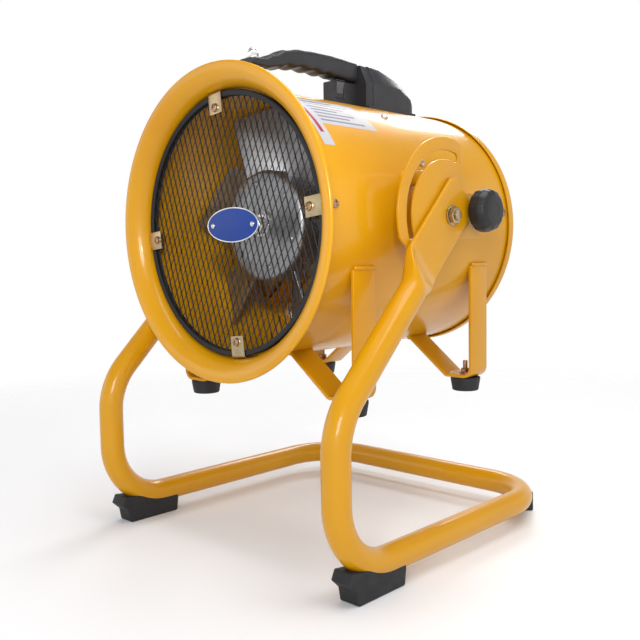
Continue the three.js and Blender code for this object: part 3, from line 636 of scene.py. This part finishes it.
def badge():
    """Oval plate on the inlet guard: enamelled field, bright raised rim, two rivets."""
    front = -2.2
    centre_x = 6
    place = Matrix.Translation((centre_x, 0, 0))
    field = Form().plate(oval(41.2, 17.9), front + 0.25, 0.8, ALONG_Y, bevel=0.2)
    field.piece("badge_field", "blue", "blue_plate", place=place)
    rim = Form().plate(oval(42.4, 19.1), front, 1.2, ALONG_Y, [oval(41.0, 17.7)], 0.3)
    rim.piece("badge_rim", "can", "zinc", "nameplate", place=place)
    rivets = Form()
    for x in (-32.5, 32.5):
        rivets.revolve([(0, 0), (3.1, 0), (2.9, 0.8), (2.0, 1.6), (0, 2.0)],
                       spin_frame((centre_x + x, front + 0.3, 0), (0, -1, 0)), 24)
    rivets.piece("badge_rivets", "zinc", "zinc")


badge()


# ---- Impeller and motor ----

BLADES, BLADE_TURN, BLADE_Y = 6, 11, 84
ROOT_RADIUS, TIP_RADIUS = 57, 141
ROOT_CHORD, TIP_CHORD = 68, 92
ROOT_PITCH, TIP_PITCH = 42, 25
MOTOR_ARM_TURN, MOTOR_ARM_Y = 42, 169


def blade():
    """One cambered, twisted blade at the top of the wheel, a little narrower at its tip."""
    loops = []
    stations, points = 14, 20
    for k in range(stations + 1):
        t = k / stations
        radius = between(ROOT_RADIUS, TIP_RADIUS, t)
        chord = between(ROOT_CHORD, TIP_CHORD, t) * (1 - 0.10 * max(0.0, (t - 0.8) / 0.2) ** 2)
        pitch = radians(between(ROOT_PITCH, TIP_PITCH, t))
        thickness = between(3.6, 2.0, t)
        front, back = [], []
        for i in range(points + 1):
            s = i / points - 0.5
            camber = 0.07 * chord * (1 - 4 * s * s)
            half = thickness / 2 * sqrt(max(0.02, 1 - (2 * s) ** 6))
            for row, offset in ((front, half), (back, -half)):
                across = s * chord * cos(pitch) - (camber + offset) * sin(pitch)
                along = s * chord * sin(pitch) + (camber + offset) * cos(pitch)
                angle = across / radius
                row.append(Vector((radius * sin(angle), BLADE_Y + along, radius * cos(angle))))
        loops.append(front + back[::-1])
    return Form().skin(loops)


def impeller():
    hub = fillet([
        (0, 108), (50, 108), (57, 109), (62.8, 107.5), (62.8, 80), (62.8, 49.4), (44, 47.0),
        (36, 47.6), (20, 47.6), (14, 46.4), (0, 46.4)],
        [0, 2, 1, 1, 0, 6.5, 2, 2, 1, 1, 0], 6, closed=False)
    pitch = 360 / BLADES
    form = Form().revolve(hub, steps=96)
    form.add(blade(), *[turn(BLADE_TURN + pitch * i) for i in range(BLADES)])
    for i in range(BLADES):
        form.revolve([(0, 0), (3.8, 0), (3.5, 1.2), (2.2, 2.2), (0, 2.5)],
                     turn(BLADE_TURN + pitch * (i + 0.5)) @ spin_frame((48, 47.7, 0), (0.1, -1, 0)),
                     20)
    form.piece("impeller_wheel", "aluminium", "impeller_metal", "impeller", "rotor", angle=38)
    Form().rod((0, 36, 0), (0, 268, 0), 7, 1.0, 40).piece(
        "motor_shaft_turned", "zinc", "zinc", "motor_shaft", "rotor")
    nut = Form().rod((0, 46.4, 0), (0, 44.6, 0), 13, 0.4, 40).hexagon((0, 44.6, 0), (0, 36.5, 0), 11)
    nut.rod((0, 37, 0), (0, 33.8, 0), 6.6, 1.0, 30)
    nut.plate(rounded_rectangle(2.0, 6.0, 0.6), 43.8, 3.2, turn(40) @ ALONG_Y @
              Matrix.Translation((15.5, 0, 0)), bevel=0.4)
    nut.piece("impeller_nut_plated", "zinc", "zinc", "impeller_nut", "rotor", angle=25)


def motor():
    can = Form().revolve(
        fillet([(50, 142.5), (56.6, 142.5), (56.6, 269.5), (50, 269.5)], 0.8, 3),
        steps=96, ring=True)
    fin = Form().skin([
        [Vector((x, y, z)) for y, z in ((152, -1.1), (152, 1.1), (260, 1.1), (260, -1.1))]
        for x in (55.5, 61.4)])
    can.add(fin, *[turn(MOTOR_ARM_TURN + 7.5 + 15 * i) for i in range(24)])
    can.piece("motor_can", "motor", "motor_enamel", "motor_housing", bevel=0.4)
    for name, inner, outer, step in (("front", 142, 126, -1), ("rear", 270, 286, 1)):
        profile = fillet([
            (7.6, inner - 8 * step), (19, inner - 8 * step), (19, inner + step),
            (56.8, inner), (56.8, inner + 10 * step), (50, outer - step),
            (24, outer - 2.5 * step), (21, outer), (7.6, outer)],
            [0.3, 0.6, 1, 0.6, 3, 3, 1.2, 0.8, 0.4], 4)
        cover = Form().revolve(profile, steps=96, ring=True)
        for i in range(4):
            cover.add(SMALL_BOLT, turn(20 + 90 * i) @ spin_frame(
                (44, outer - 1.8 * step, 0), (0, step, 0)))
        for i in range(8):
            rib = Form().skin([
                [Vector((x, y, z)) for y, z in (
                    (outer - 5 * step, -1.2), (outer - 5 * step, 1.2),
                    (outer - 0.9 * step, 0.8), (outer - 0.9 * step, -0.8))]
                for x in (23, 40)])
            cover.add(rib, turn(MOTOR_ARM_TURN + 45 * i))
        cover.piece(f"motor_cover_{name}", "motor", "motor_enamel", f"motor_{name}_cover", angle=35)


def motor_arms():
    """Pressed arms with a flanged rim, bolted to the barrel wall through a curved foot."""
    y = MOTOR_ARM_Y
    for i in range(4):
        place = turn(MOTOR_ARM_TURN + 90 * i)
        web = Form().skin([
            [Vector((x, y + v, u)) for u, v in rounded_rectangle(2, 22, 0.9, 3)]
            for x in (57.4, 62, 100, WALL - 2.4)])
        outline = []
        for radius, sweep in ((WALL - 1.0, range(-22, 23, 2)), (WALL - 3.8, range(22, -23, -2))):
            outline += [(radius * cos(radians(d)), radius * sin(radians(d))) for d in sweep]
        web.plate(outline, y - 12, 24, ALONG_Y, bevel=0.6)
        for sign in (-1, 1):
            web.skin([
                [Vector((x, y + sign * 20.6 + v, 5.0 * u - 1.5)) for u, v in (
                    (-1, -1.4), (1, -1.4), (1, 1.4), (-1, 1.4))]
                for x in (60, WALL - 6)])
        web.piece(f"arm_{i + 1}", "yellow", "yellow_enamel", f"motor_arm_{i + 1}",
                  place=place, bevel=0.5)
        bolts = Form()
        for spun in (turn(-15), turn(15)):
            bolts.add(SCREW, spun @ spin_frame((BARREL + 0.1, y, 0), (1, 0, 0)))
            bolts.hexagon(spun @ Vector((WALL - 3.6, y, 0)), spun @ Vector((WALL - 8.4, y, 0)), 5.4)
            bolts.rod(spun @ Vector((WALL - 8, y, 0)), spun @ Vector((WALL - 11.6, y, 0)),
                      2.6, 0.4, 20)
        for along in (-12, 12):
            bolts.add(SMALL_BOLT, spin_frame((70, y + along, 2), (0, 0, 1)),
                      spin_frame((70, y + along, -2), (0, 0, -1)))
        bolts.piece(f"arm_bolts_{i + 1}", "zinc", "zinc", place=place, angle=28)


impeller()
motor()
motor_arms()


# ---- Handle and switch box ----

HANDLE_FRONT, HANDLE_REAR, HANDLE_NUT_Y = 27, 200.7, 39
ROCKER_Y, ROCKER_Z = 169.9, 166.6


def smooth(low, high, value):
    """Eases from 0 at low to 1 at high."""
    t = min(1.0, max(0.0, (value - low) / (high - low)))
    return t * t * (3 - 2 * t)


def interpolate(table, at, eased=True):
    """Value at a place in a table of (place, value) rows."""
    for (a, low), (b, high) in zip(table, table[1:]):
        if at <= b:
            return between(low, high, smooth(a, b, at) if eased else (at - a) / (b - a))
    return table[-1][1]


def handle():
    """Carry handle with finger grooves, on a front post, and the cap nut that holds it."""
    top = [(27, 183.4), (44, 183.8), (60, 190.6), (80, 199.0), (104, 203.4), (130, 205.0),
           (165, 205.1), (201, 203.4)]
    base = [(27, 173.8), (52, 173.8), (70, 177.2), (84, 179.8), (104, 181.4), (150, 180.6),
            (201, 178.2)]
    loops = []
    steps = 92
    for k in range(steps + 1):
        y = between(HANDLE_FRONT, HANDLE_REAR, k / steps)
        high, low = interpolate(top, y), interpolate(base, y)
        if 72 < y < 164:
            low += 1.9 * sin(pi * (y - 72) / 23) ** 2 - 0.6
        end = min(1.0, (y - HANDLE_FRONT + 1.2) / 5.0)
        half_width = 13.2 * (0.80 + 0.20 * sqrt(max(0.0, 1 - (1 - end) ** 2)))
        middle, half = (high + low) / 2, (high - low) / 2 * (0.72 + 0.28 * end)
        loops.append([
            Vector((half_width * swell(cos(t), 0.55), y,
                    middle + half * swell(sin(t), 0.55 if sin(t) > 0 else 0.45)))
            for t in round_angles(40)])
    grip = Form().skin(loops)
    post = rounded_rectangle(11.8, 10.8, 3.0, 4)
    nut_y = HANDLE_NUT_Y
    grip.skin([[Vector((u, nut_y + v, z)) for u, v in post] for z in (BARREL - 0.6, 160, 176)])
    flange = rounded_rectangle(13.0, 12.0, 3.4, 4)
    grip.skin([[Vector((u, nut_y + v, z)) for u, v in flange] for z in (BARREL - 1, BARREL + 1.6)])
    grip.piece("grip", "plastic", "black_plastic", "handle_grip", angle=50)

    nut = Form().rod((0, nut_y, 183.8), (0, nut_y, 185.4), 8, 0.4, 40)
    nut.hexagon((0, nut_y, 185.4), (0, nut_y, 191.4), 6.4)
    nut.revolve([(0, 0), (5.3, 0), (5.2, 2.0), (4.2, 4.2), (2.4, 5.6), (0, 6.2)],
                spin_frame((0, nut_y, 190.2), (0, 0, 1)), 32)
    nut.rod((0, nut_y, 151), (0, nut_y, 185), 3, 0.3, 16)
    nut.piece("cap_nut", "zinc", "zinc", "handle_nut", angle=28)


# Rows of y, half width, shoulder height, half width of the crown and crown height.
BOX_STATIONS = [
    (201.0, 27.0, 177.0, 17.5, 200.0), (235.0, 27.0, 177.0, 17.0, 198.5),
    (268.0, 27.0, 176.0, 15.0, 191.0), (290.0, 26.5, 166.0, 13.5, 181.0),
    (297.0, 25.0, 157.0, 12.0, 171.0)]


def box_value(column, y):
    return interpolate([(row[0], row[column]) for row in BOX_STATIONS], y, eased=False)


def box_outline(y, inset):
    """Section of the switch box across the fan, with rounded edges."""
    half, shoulder, crown_half, crown = (box_value(c, y) for c in (1, 2, 3, 4))
    half -= inset
    crown -= inset
    crown_half -= inset
    foot = sqrt((BARREL + 0.4) ** 2 - half * half)
    corners = [(half, foot), (half, shoulder), (crown_half, crown), (-crown_half, crown),
               (-half, shoulder), (-half, foot)]
    rounded = fillet(corners, [0.4, 2.6, 3.2, 3.2, 2.6, 0.4], 5)
    saddle = [Vector((half * s, sqrt((BARREL + 0.4) ** 2 - (half * s) ** 2)))
              for s in (-0.66, -0.33, 0, 0.33, 0.66)]
    return rounded + saddle


def switch_box():
    # Sections as (y, inset): a step smaller at the front, and rounded at the rear end.
    sections = [(201.2, 1.2), (202.0, 0.9), (214.0, 0.9), (214.4, 0.9), (214.8, 0.0)]
    sections += [(y, 0.0) for y in (222, 235, 246, 257, 268, 274, 280, 285, 290)]
    sections += [(293.5, 0.2), (295.6, 0.8), (296.8, 2.2)]
    body = Form().skin([[Vector((u, y, v)) for u, v in box_outline(y, inset)] for y, inset in sections])
    # Base flange that sits on the barrel.
    rail = rounded_rectangle(1.6, 1.8, 0.8, 3)
    for sign in (-1, 1):
        x = sign * 27.2
        z = sqrt(BARREL ** 2 - 27.2 ** 2) + 1.6
        body.skin([[Vector((x + u, y, z + v)) for u, v in rail] for y in (203, 250, 297)])
    body.piece("switch_housing", "plastic", "black_plastic", "switch_box", angle=40)

    # Step block under the handle that carries the rocker.
    block = Form().skin([
        [Vector((u, y, 162.4 + v)) for u, v in rounded_rectangle(10.4, 14.5, 1.6, 4)]
        for y in (163.0, 163.6, 190, 201.5)])
    face = 10.5
    block.plate(rounded_rectangle(8.4, 11.2, 1.6), face - 0.6, 1.5, ALONG_X @ Matrix.Translation(
        (ROCKER_Y + 0.6, ROCKER_Z, 0)), [rounded_rectangle(6.7, 9.7, 0.8)], 0.4)
    block.piece("switch_step", "plastic", "black_plastic", angle=35, bevel=0.5)

    lever = [(6.5, 157.5), (9.9, 157.7), (11.0, ROCKER_Z), (13.0, 175.1), (9.5, 175.7), (5.0, ROCKER_Z)]
    width = 12.4
    rocker = Form().plate(fillet(lever, [1, 1, 1.5, 1, 1, 1], 3), ROCKER_Y - width / 2, width,
                          ALONG_Y, bevel=0.6)
    rocker.piece("rocker", "switch_light", "black_plastic", "rocker_switch", "rocker", angle=35)


def gland():
    """Cable gland on the left of the box, and the capacitor inside the box."""
    start, y, z = -27.3, 262, 162
    body = Form().hexagon((start, y, z), (start - 6, y, z), 9.8)
    body.revolve(fillet([(3.8, 4), (9.0, 4), (9.0, 10), (6.4, 16.6), (3.8, 16.6)],
                        [0, 0.4, 1.6, 1.0, 0.4], 4),
                 spin_frame((start, y, z), (-1, 0, 0)), 48, ring=True, lobes=12, depth=0.04)
    body.rod((start + 7.6, y, z), (start - 1, y, z), 6, 0.4, 24)
    body.piece("gland", "plastic", "black_plastic", "cable_gland", angle=35)
    can = Form().revolve(
        fillet([(0, 0), (13, 0), (13, 58), (0, 58)], [0, 1.4, 2.2, 0], 4),
        spin_frame((4, 213, 168), (0, 1, 0)), 48)
    can.piece("capacitor", "can", "capacitor_can", "run_capacitor")


handle()
switch_box()
gland()


# ---- Tilt pivots ----

PIVOT_Y, PIVOT_Z = 156.0, 6.0
SLOT_RADIUS, SLOT_HALF, SLOT_LOW, SLOT_HIGH = 65.0, 5.0, -26.0, 105.0
PLATE_OUTER, PLATE_THICKNESS, PLATE_RADIUS = 175.7, 3, 84
ARM_INNER, ARM_OUTER = 176.4, 182.3
KNOB_Y, KNOB_Z = PIVOT_Y + 47.5, PIVOT_Z + 6.0


def polar(radius, degrees):
    """The y and z of a point around the pivot, measured from the inlet side upwards."""
    t = radians(degrees)
    return PIVOT_Y - radius * cos(t), PIVOT_Z + radius * sin(t)


def slot_outline():
    steps = 44
    spread = [SLOT_LOW + (SLOT_HIGH - SLOT_LOW) * i / steps for i in range(steps + 1)]
    points = [polar(SLOT_RADIUS + SLOT_HALF, d) for d in spread]
    for degrees, sign in ((SLOT_HIGH, 1), (SLOT_LOW, -1)):
        y, z = polar(SLOT_RADIUS, degrees)
        t = radians(degrees)
        for step in range(1, 12):
            out = sign * SLOT_HALF * cos(step * pi / 12)
            along = sign * SLOT_HALF * sin(step * pi / 12)
            points.append((y - out * cos(t) + along * sin(t), z + out * sin(t) + along * cos(t)))
        if sign > 0:
            points += [polar(SLOT_RADIUS - SLOT_HALF, d) for d in reversed(spread)]
    return points


def quadrant(hand, side):
    """Slotted tilting plate with an ear for the knob, on three bosses welded to the barrel."""
    steps = 60
    arc = [polar(PLATE_RADIUS, between(96, -17.3, i / steps)) for i in range(steps + 1)]
    corners = [(PIVOT_Y + 68, PIVOT_Z - 24), (PIVOT_Y + 68, PIVOT_Z + 26),
               (PIVOT_Y + 30, PIVOT_Z + 26), (PIVOT_Y + 27, PIVOT_Z + 80.5), *arc,
               (PIVOT_Y - 66, PIVOT_Z - 37), (PIVOT_Y + 4, PIVOT_Z - 37),
               (PIVOT_Y + 20, PIVOT_Z - 24)]
    radii = [9, 9, 4, 10, *[0] * steps, 6, 12, 8, 6]
    sheet = Form().plate(fillet(corners, radii, 5), PLATE_OUTER - PLATE_THICKNESS, PLATE_THICKNESS,
                         ALONG_X, [slot_outline()], 0.7, 3)
    for y, z, radius in ((PIVOT_Y, PIVOT_Z, 13), (KNOB_Y, KNOB_Z, 11), (PIVOT_Y - 26, PIVOT_Z + 40, 8)):
        inner = sqrt((BARREL - 0.6) ** 2 - (abs(z) + radius) ** 2) - 1
        sheet.rod((inner, y, z), (PLATE_OUTER - 1.5, y, z), radius, 0.3, 40)
        weld = sqrt(BARREL ** 2 - z * z)
        sheet.rod((weld - 2, y, z), (weld + 2.4, y, z), radius + 2.2, 1.8, 40)
    sheet.piece(f"quadrant_{hand}", "yellow", "yellow_enamel",
                f"pivot_plate_{hand}", side=side, angle=35)


def pivot_bolt(hand, side):
    """Pivot bolt with its washer, hexagon and threaded end."""
    def along(x):
        return x, PIVOT_Y, PIVOT_Z

    face = ARM_OUTER + 0.3
    form = Form().rod(along(face), along(face + 1.8), 10.8, 0.5, 48)
    form.hexagon(along(face + 1.8), along(face + 7), 9.4)
    form.rod(along(159), along(face + 9.4), 5, 0.7, 32)
    for i in range(5):
        x = face + 7.1 + 0.45 * i
        form.rod(along(x), along(x + 0.22), 5.2, 0.08, 32)
    form.piece(f"pivot_fixing_{hand}", "chromate", "zinc",
               f"pivot_bolt_{hand}", side=side, angle=25)


def knob(hand, side):
    """Fluted knob with its stud and a washer."""
    centre = (183, KNOB_Y, KNOB_Z)
    profile = fillet([
        (0, 0.2), (17.5, 0.2), (19.5, 1.8), (23.2, 4.6), (23.8, 9), (23.6, 15.5), (21.6, 21.0),
        (16.5, 24.2), (9, 24.9), (0, 24.9)],
        [0, 1, 1.4, 2, 3, 3, 3.5, 4, 3, 0], 4)
    form = Form().revolve(profile, spin_frame(centre, (1, 0, 0)), 168, lobes=14, depth=0.022)
    form.rod((166, KNOB_Y, KNOB_Z), (184, KNOB_Y, KNOB_Z), 4, 0.6, 28)
    form.rod((182.4, KNOB_Y, KNOB_Z), (183.4, KNOB_Y, KNOB_Z), 12, 0.3, 40)
    form.piece(f"knob_{hand}", "knob", "black_plastic", f"clamp_knob_{hand}",
               f"knob_{hand}", side, angle=50)


def pin(hand, side):
    """Guide pin on the stand's arm, at the lower end of the slot when the barrel is level."""
    y, z = polar(SLOT_RADIUS, SLOT_LOW)
    form = Form().rod((169, y, z), (176.0, y, z), 4, 0.6, 32)
    form.piece(f"guide_pin_turned_{hand}", "zinc", "zinc", f"guide_pin_{hand}", "stand", side)


for hand, side in SIDES:
    quadrant(hand, side)
    pivot_bolt(hand, side)
    knob(hand, side)
    pin(hand, side)


# ---- Feet of the barrel ----

def foot_bracket(place, side, y):
    """Flat bar bent into a foot, with a weld at each end."""
    path = fillet([(140, -49.5), (140, -185), (104, -185), (47.2, -139.9)], [0, 11, 9, 0], 8,
                  closed=False)
    strip = Form().sweep([(x, y, z) for x, z in path], rounded_rectangle(2, 17.5, 0.9, 3), (0, 1, 0))
    strip.rod((141.9, y - 16, -48.2), (141.9, y + 16, -48.2), 2.1, 1.4, 16)
    strip.rod((45.4, y - 16, -141.9), (45.4, y + 16, -141.9), 2.4, 1.5, 16)
    strip.piece(f"bracket_{place}", "yellow", "yellow_enamel", f"foot_bracket_{place}",
                side=side, angle=30)


def barrel_foot(place, side, y):
    """Tapered rubber foot under a bracket, with the nut that holds it."""
    x, top, height = 122.0, -187.3, 16.5
    profile = fillet([(0, 0), (16.0, 0), (16.6, 4), (18.2, 13.6), (18.2, height), (0, height)],
                     [0, 1.8, 1.5, 1.5, 0.8, 0], 4)
    Form().revolve(profile, spin_frame((x, y, top - height), (0, 0, 1)), 64).piece(
        f"barrel_foot_{place}", "rubber", "black_rubber", f"rubber_foot_{place}",
        side=side, angle=40)
    fixing = Form().rod((x, y, -183), (x, y, -181.6), 7.6, 0.4, 36)
    fixing.hexagon((x, y, -181.6), (x, y, -176.6), 6.0)
    fixing.rod((x, y, -183), (x, y, -167.0), 2.9, 0.6, 24)
    fixing.piece(f"foot_fixing_{place}", "bronze", "zinc", side=side, angle=28)


for end, y in (("front", 58.0), ("rear", 272.0)):
    for hand, side in SIDES:
        foot_bracket(f"{end}_{hand}", side, y)
        barrel_foot(f"{end}_{hand}", side, y)


# ---- Stand ----

TUBE = 14.35  # radius
SPAN, TUBE_FRONT, TUBE_REAR, TUBE_LEVEL = 188.0, -39.3, 346.0, -336.0
KNEE_Z = PIVOT_Z - (PIVOT_Y - TUBE_FRONT)
DIAGONAL = Vector((0, 1, 1)).normalized()
ROUND_END = -112  # where the tube starts to flatten, along the diagonal from the pivot
ARM_HALF_WIDTH, ARM_TIP, TIP_ROUND = 27, 35.8, 8


def dense(points, spacing):
    """Adds points along straight runs, so that no step is longer than the spacing."""
    result = [points[0]]
    for a, b in zip(points, points[1:]):
        count = max(1, ceil((b - a).length / spacing))
        result += [a.lerp(b, k / count) for k in range(1, count + 1)]
    return result


def stand_frame():
    pivot = Vector((SPAN, PIVOT_Y, PIVOT_Z))
    corners = [
        Vector((0, TUBE_REAR, TUBE_LEVEL)), Vector((SPAN, TUBE_REAR, TUBE_LEVEL)),
        Vector((SPAN, TUBE_FRONT, TUBE_LEVEL)), Vector((SPAN, TUBE_FRONT, KNEE_Z)),
        pivot + DIAGONAL * ROUND_END]
    path = dense(fillet(corners, [0, 74, 80, 80, 0], 18, closed=False), 14)
    loops = []
    steps = 40
    for i, point in enumerate(path):
        before = point - path[max(i - 1, 0)]
        after = path[min(i + 1, len(path) - 1)] - point
        tangent = (before.normalized() + after.normalized()).normalized()
        if abs(tangent.x) > 1e-4 or abs(tangent.z) < 1e-6 and tangent.y < -0.99:
            normal = Vector((0, 0, 1))
            across = tangent.cross(normal)
        else:
            across = Vector((-1, 0, 0))
            normal = across.cross(tangent)
        loops.append([point + (normal * cos(t) + across * sin(t)) * TUBE for t in round_angles(steps)])
    # Flattened end: the tube spreads into a flat bar with a rounded tip.
    normal = Vector((0, 1, -1)).normalized()
    tip_start = ARM_TIP - TIP_ROUND
    tip = [tip_start + TIP_ROUND * sin(radians(d)) for d in range(0, 90, 9)]
    for u in [*range(-108, -62, 3), -50, -30, -10, *tip, ARM_TIP]:
        inner = between(SPAN - TUBE, ARM_INNER, smooth(ROUND_END, -88, u))
        outer = between(SPAN + TUBE, ARM_OUTER, smooth(ROUND_END, -66, u))
        half_width = between(TUBE, ARM_HALF_WIDTH, smooth(ROUND_END, -72, u))
        if u > tip_start:
            half_width -= TIP_ROUND - sqrt(max(0.0, TIP_ROUND ** 2 - (u - tip_start) ** 2))
        power = 2 / (2 + 6 * smooth(-108, -74, u))
        centre = pivot + DIAGONAL * u
        centre.x = (inner + outer) / 2
        half = Vector(((outer - inner) / 2, 0, 0))
        loops.append([
            centre + normal * half_width * swell(cos(t), power) - half * swell(sin(t), power)
            for t in round_angles(steps)])
    mirrored = [[Vector((-p.x, p.y, p.z)) for p in loop] for loop in reversed(loops[1:])]
    Form().skin(mirrored + loops).piece(
        "stand_tube", "yellow", "yellow_enamel", "stand_frame", "stand", angle=48)


def stand_feet():
    """Moulded wedges with a stepped nose under the front bends, and plain blocks at the rear."""
    nose = fillet([
        (0, FLOOR), (70, FLOOR), (72.5, FLOOR + 18), (70, FLOOR + 24), (-8, FLOOR + 34),
        (-12.8, FLOOR + 24), (-3, FLOOR + 15)],
        [2.5, 2.5, 2, 2, 1.5, 1.5, 1.5], 4)
    block = fillet([(-12, FLOOR), (12, FLOOR), (12, FLOOR + 24.6), (-12, FLOOR + 24.6)], 2.5, 4)
    at_bend = Matrix.Translation((SPAN, -23, 0))
    at_corner = Matrix.Translation((159.7, 342.7, 0)) @ Matrix.Rotation(radians(45), 4, "Z")
    for hand, side in SIDES:
        for end, outline, place in (("front", nose, at_bend), ("rear", block, at_corner)):
            Form().plate(outline, -12.3, 24.6, ALONG_X, bevel=1.3, smooth=3).piece(
                f"stand_block_{end}_{hand}", "rubber", "black_rubber",
                f"stand_foot_{end}_{hand}", "stand", side, place, angle=35)


stand_frame()
stand_feet()


# ---- Stickers ----

def patch(y_low, y_high, low, high, lift):
    """A thin sheet lying on the barrel between two angles."""
    form = Form()
    columns, rows = 18, 12
    angles = [radians(between(low, high, i / columns)) for i in range(columns + 1)]
    radius = BARREL + lift
    for level in (radius, radius - 0.08):
        grid = [[form.bm.verts.new((
            level * cos(t), between(y_low, y_high, j / rows), level * sin(t)))
            for j in range(rows + 1)] for t in angles]
        for i in range(columns):
            for j in range(rows):
                form.bm.faces.new((grid[i][j], grid[i + 1][j], grid[i + 1][j + 1], grid[i][j + 1]))
    return form


def stickers():
    """A white label with grey lines, and a narrow one with a red bar."""
    label_lift, print_lift = 0.12, 0.20
    patch(31, 121, 42.4, 63.0, label_lift).piece("label", "sticker", "yellow_enamel")
    marks = Form()
    for row, width in enumerate((0.86, 0.62, 0.78, 0.50, 0.70, 0.84, 0.58)):
        low = 44.4 + 2.5 * row
        marks.add(patch(36, 36 + 80 * width, low, low + 1.1, print_lift))
    marks.piece("label_marks", "print_grey", "yellow_enamel")
    patch(17, 33, 30.6, 57, label_lift).piece("arrow_label", "sticker", "yellow_enamel")
    patch(21.5, 26.5, 37, 54, print_lift).piece("arrow_mark", "print_red", "yellow_enamel")


stickers()


# ---- Studio ----

def add_light(name, data, place, target):
    direction = Vector(target) - Vector(place)
    add_object(name, data).matrix_world = Matrix.Translation(place) @ direction.to_track_quat(
        "-Z", "Y").to_matrix().to_4x4()


def add_floor():
    nodes = Nodes("floor", 0.55, specular=0.3)
    nodes.colour(nodes.ramp(
        nodes.noise(1.2, 2.0), (0.3, (0.86, 0.86, 0.86)), (0.7, (0.90, 0.90, 0.90))))
    # The floor fades out away from the fan.
    reach = nodes.add("ShaderNodeVectorMath", operation="LENGTH")
    nodes.link(nodes.place, reach.inputs[0])
    nodes.link(nodes.span(reach.outputs["Value"], 1.0, 0.0, 0.55, 1.5), nodes.shader.inputs["Alpha"])
    mesh = bpy.data.meshes.new("floor")
    mesh.from_pydata([(-9, -9, 0), (9, -9, 0), (9, 9, 0), (-9, 9, 0)], [], [(0, 1, 2, 3)])
    mesh.materials.append(nodes.material)
    floor = add_object("floor", mesh)


def add_sky():
    """White below and just above the horizon, grey higher up."""
    world = bpy.data.worlds.new("world")
    bpy.context.scene.world = world
    world.use_nodes = True
    tree = world.node_tree
    place = tree.nodes.new("ShaderNodeTexCoord")
    split = tree.nodes.new("ShaderNodeSeparateXYZ")
    ramp = tree.nodes.new("ShaderNodeValToRGB")
    set_stops(ramp, (
        (0.0, (1.0, 1.0, 1.0)), (0.34, (1.0, 1.0, 1.0)), (0.50, (0.36, 0.36, 0.38)),
        (1.0, (0.34, 0.34, 0.36))))
    tree.links.new(place.outputs["Generated"], split.inputs["Vector"])
    tree.links.new(split.outputs["Z"], ramp.inputs["Fac"])
    tree.links.new(ramp.outputs["Color"], tree.nodes["Background"].inputs["Color"])
    tree.nodes["Background"].inputs["Strength"].default_value = 1.0


def add_lights():
    for name, place, target, size, power in (
            ("top_light", (0.45, 0.0, 1.9), (0, 0, 0.4), (1.0, 1.6), 22),
            ("duct_light", (1.25, -1.6, 0.9), (0, 0, 0.36), (0.6, 0.6), 16),
            ("rim_light", (-0.95, 1.75, 1.65), (0, 0, 0.42), (1.1, 0.5), 17),
            ("fill_light", (-1.6, -1.4, 0.7), (0, 0, 0.3), (0.9, 0.9), 2)):
        data = bpy.data.lights.new(name, "AREA")
        data.shape = "RECTANGLE"
        data.size, data.size_y = size
        data.energy = power
        add_light(name, data, place, target)
    # A narrow beam through the inlet, onto the impeller and the far wall of the barrel.
    data = bpy.data.lights.new("duct_spot", "SPOT")
    data.energy = 55
    data.spot_size = radians(11)
    data.spot_blend = 0.5
    data.shadow_soft_size = 0.08
    add_light("duct_spot", data, (1.15, -1.15, 0.78), (-0.05, -0.06, 0.33))


add_floor()
add_sky()
add_lights()
bpy.context.scene.view_settings.view_transform = "Standard"
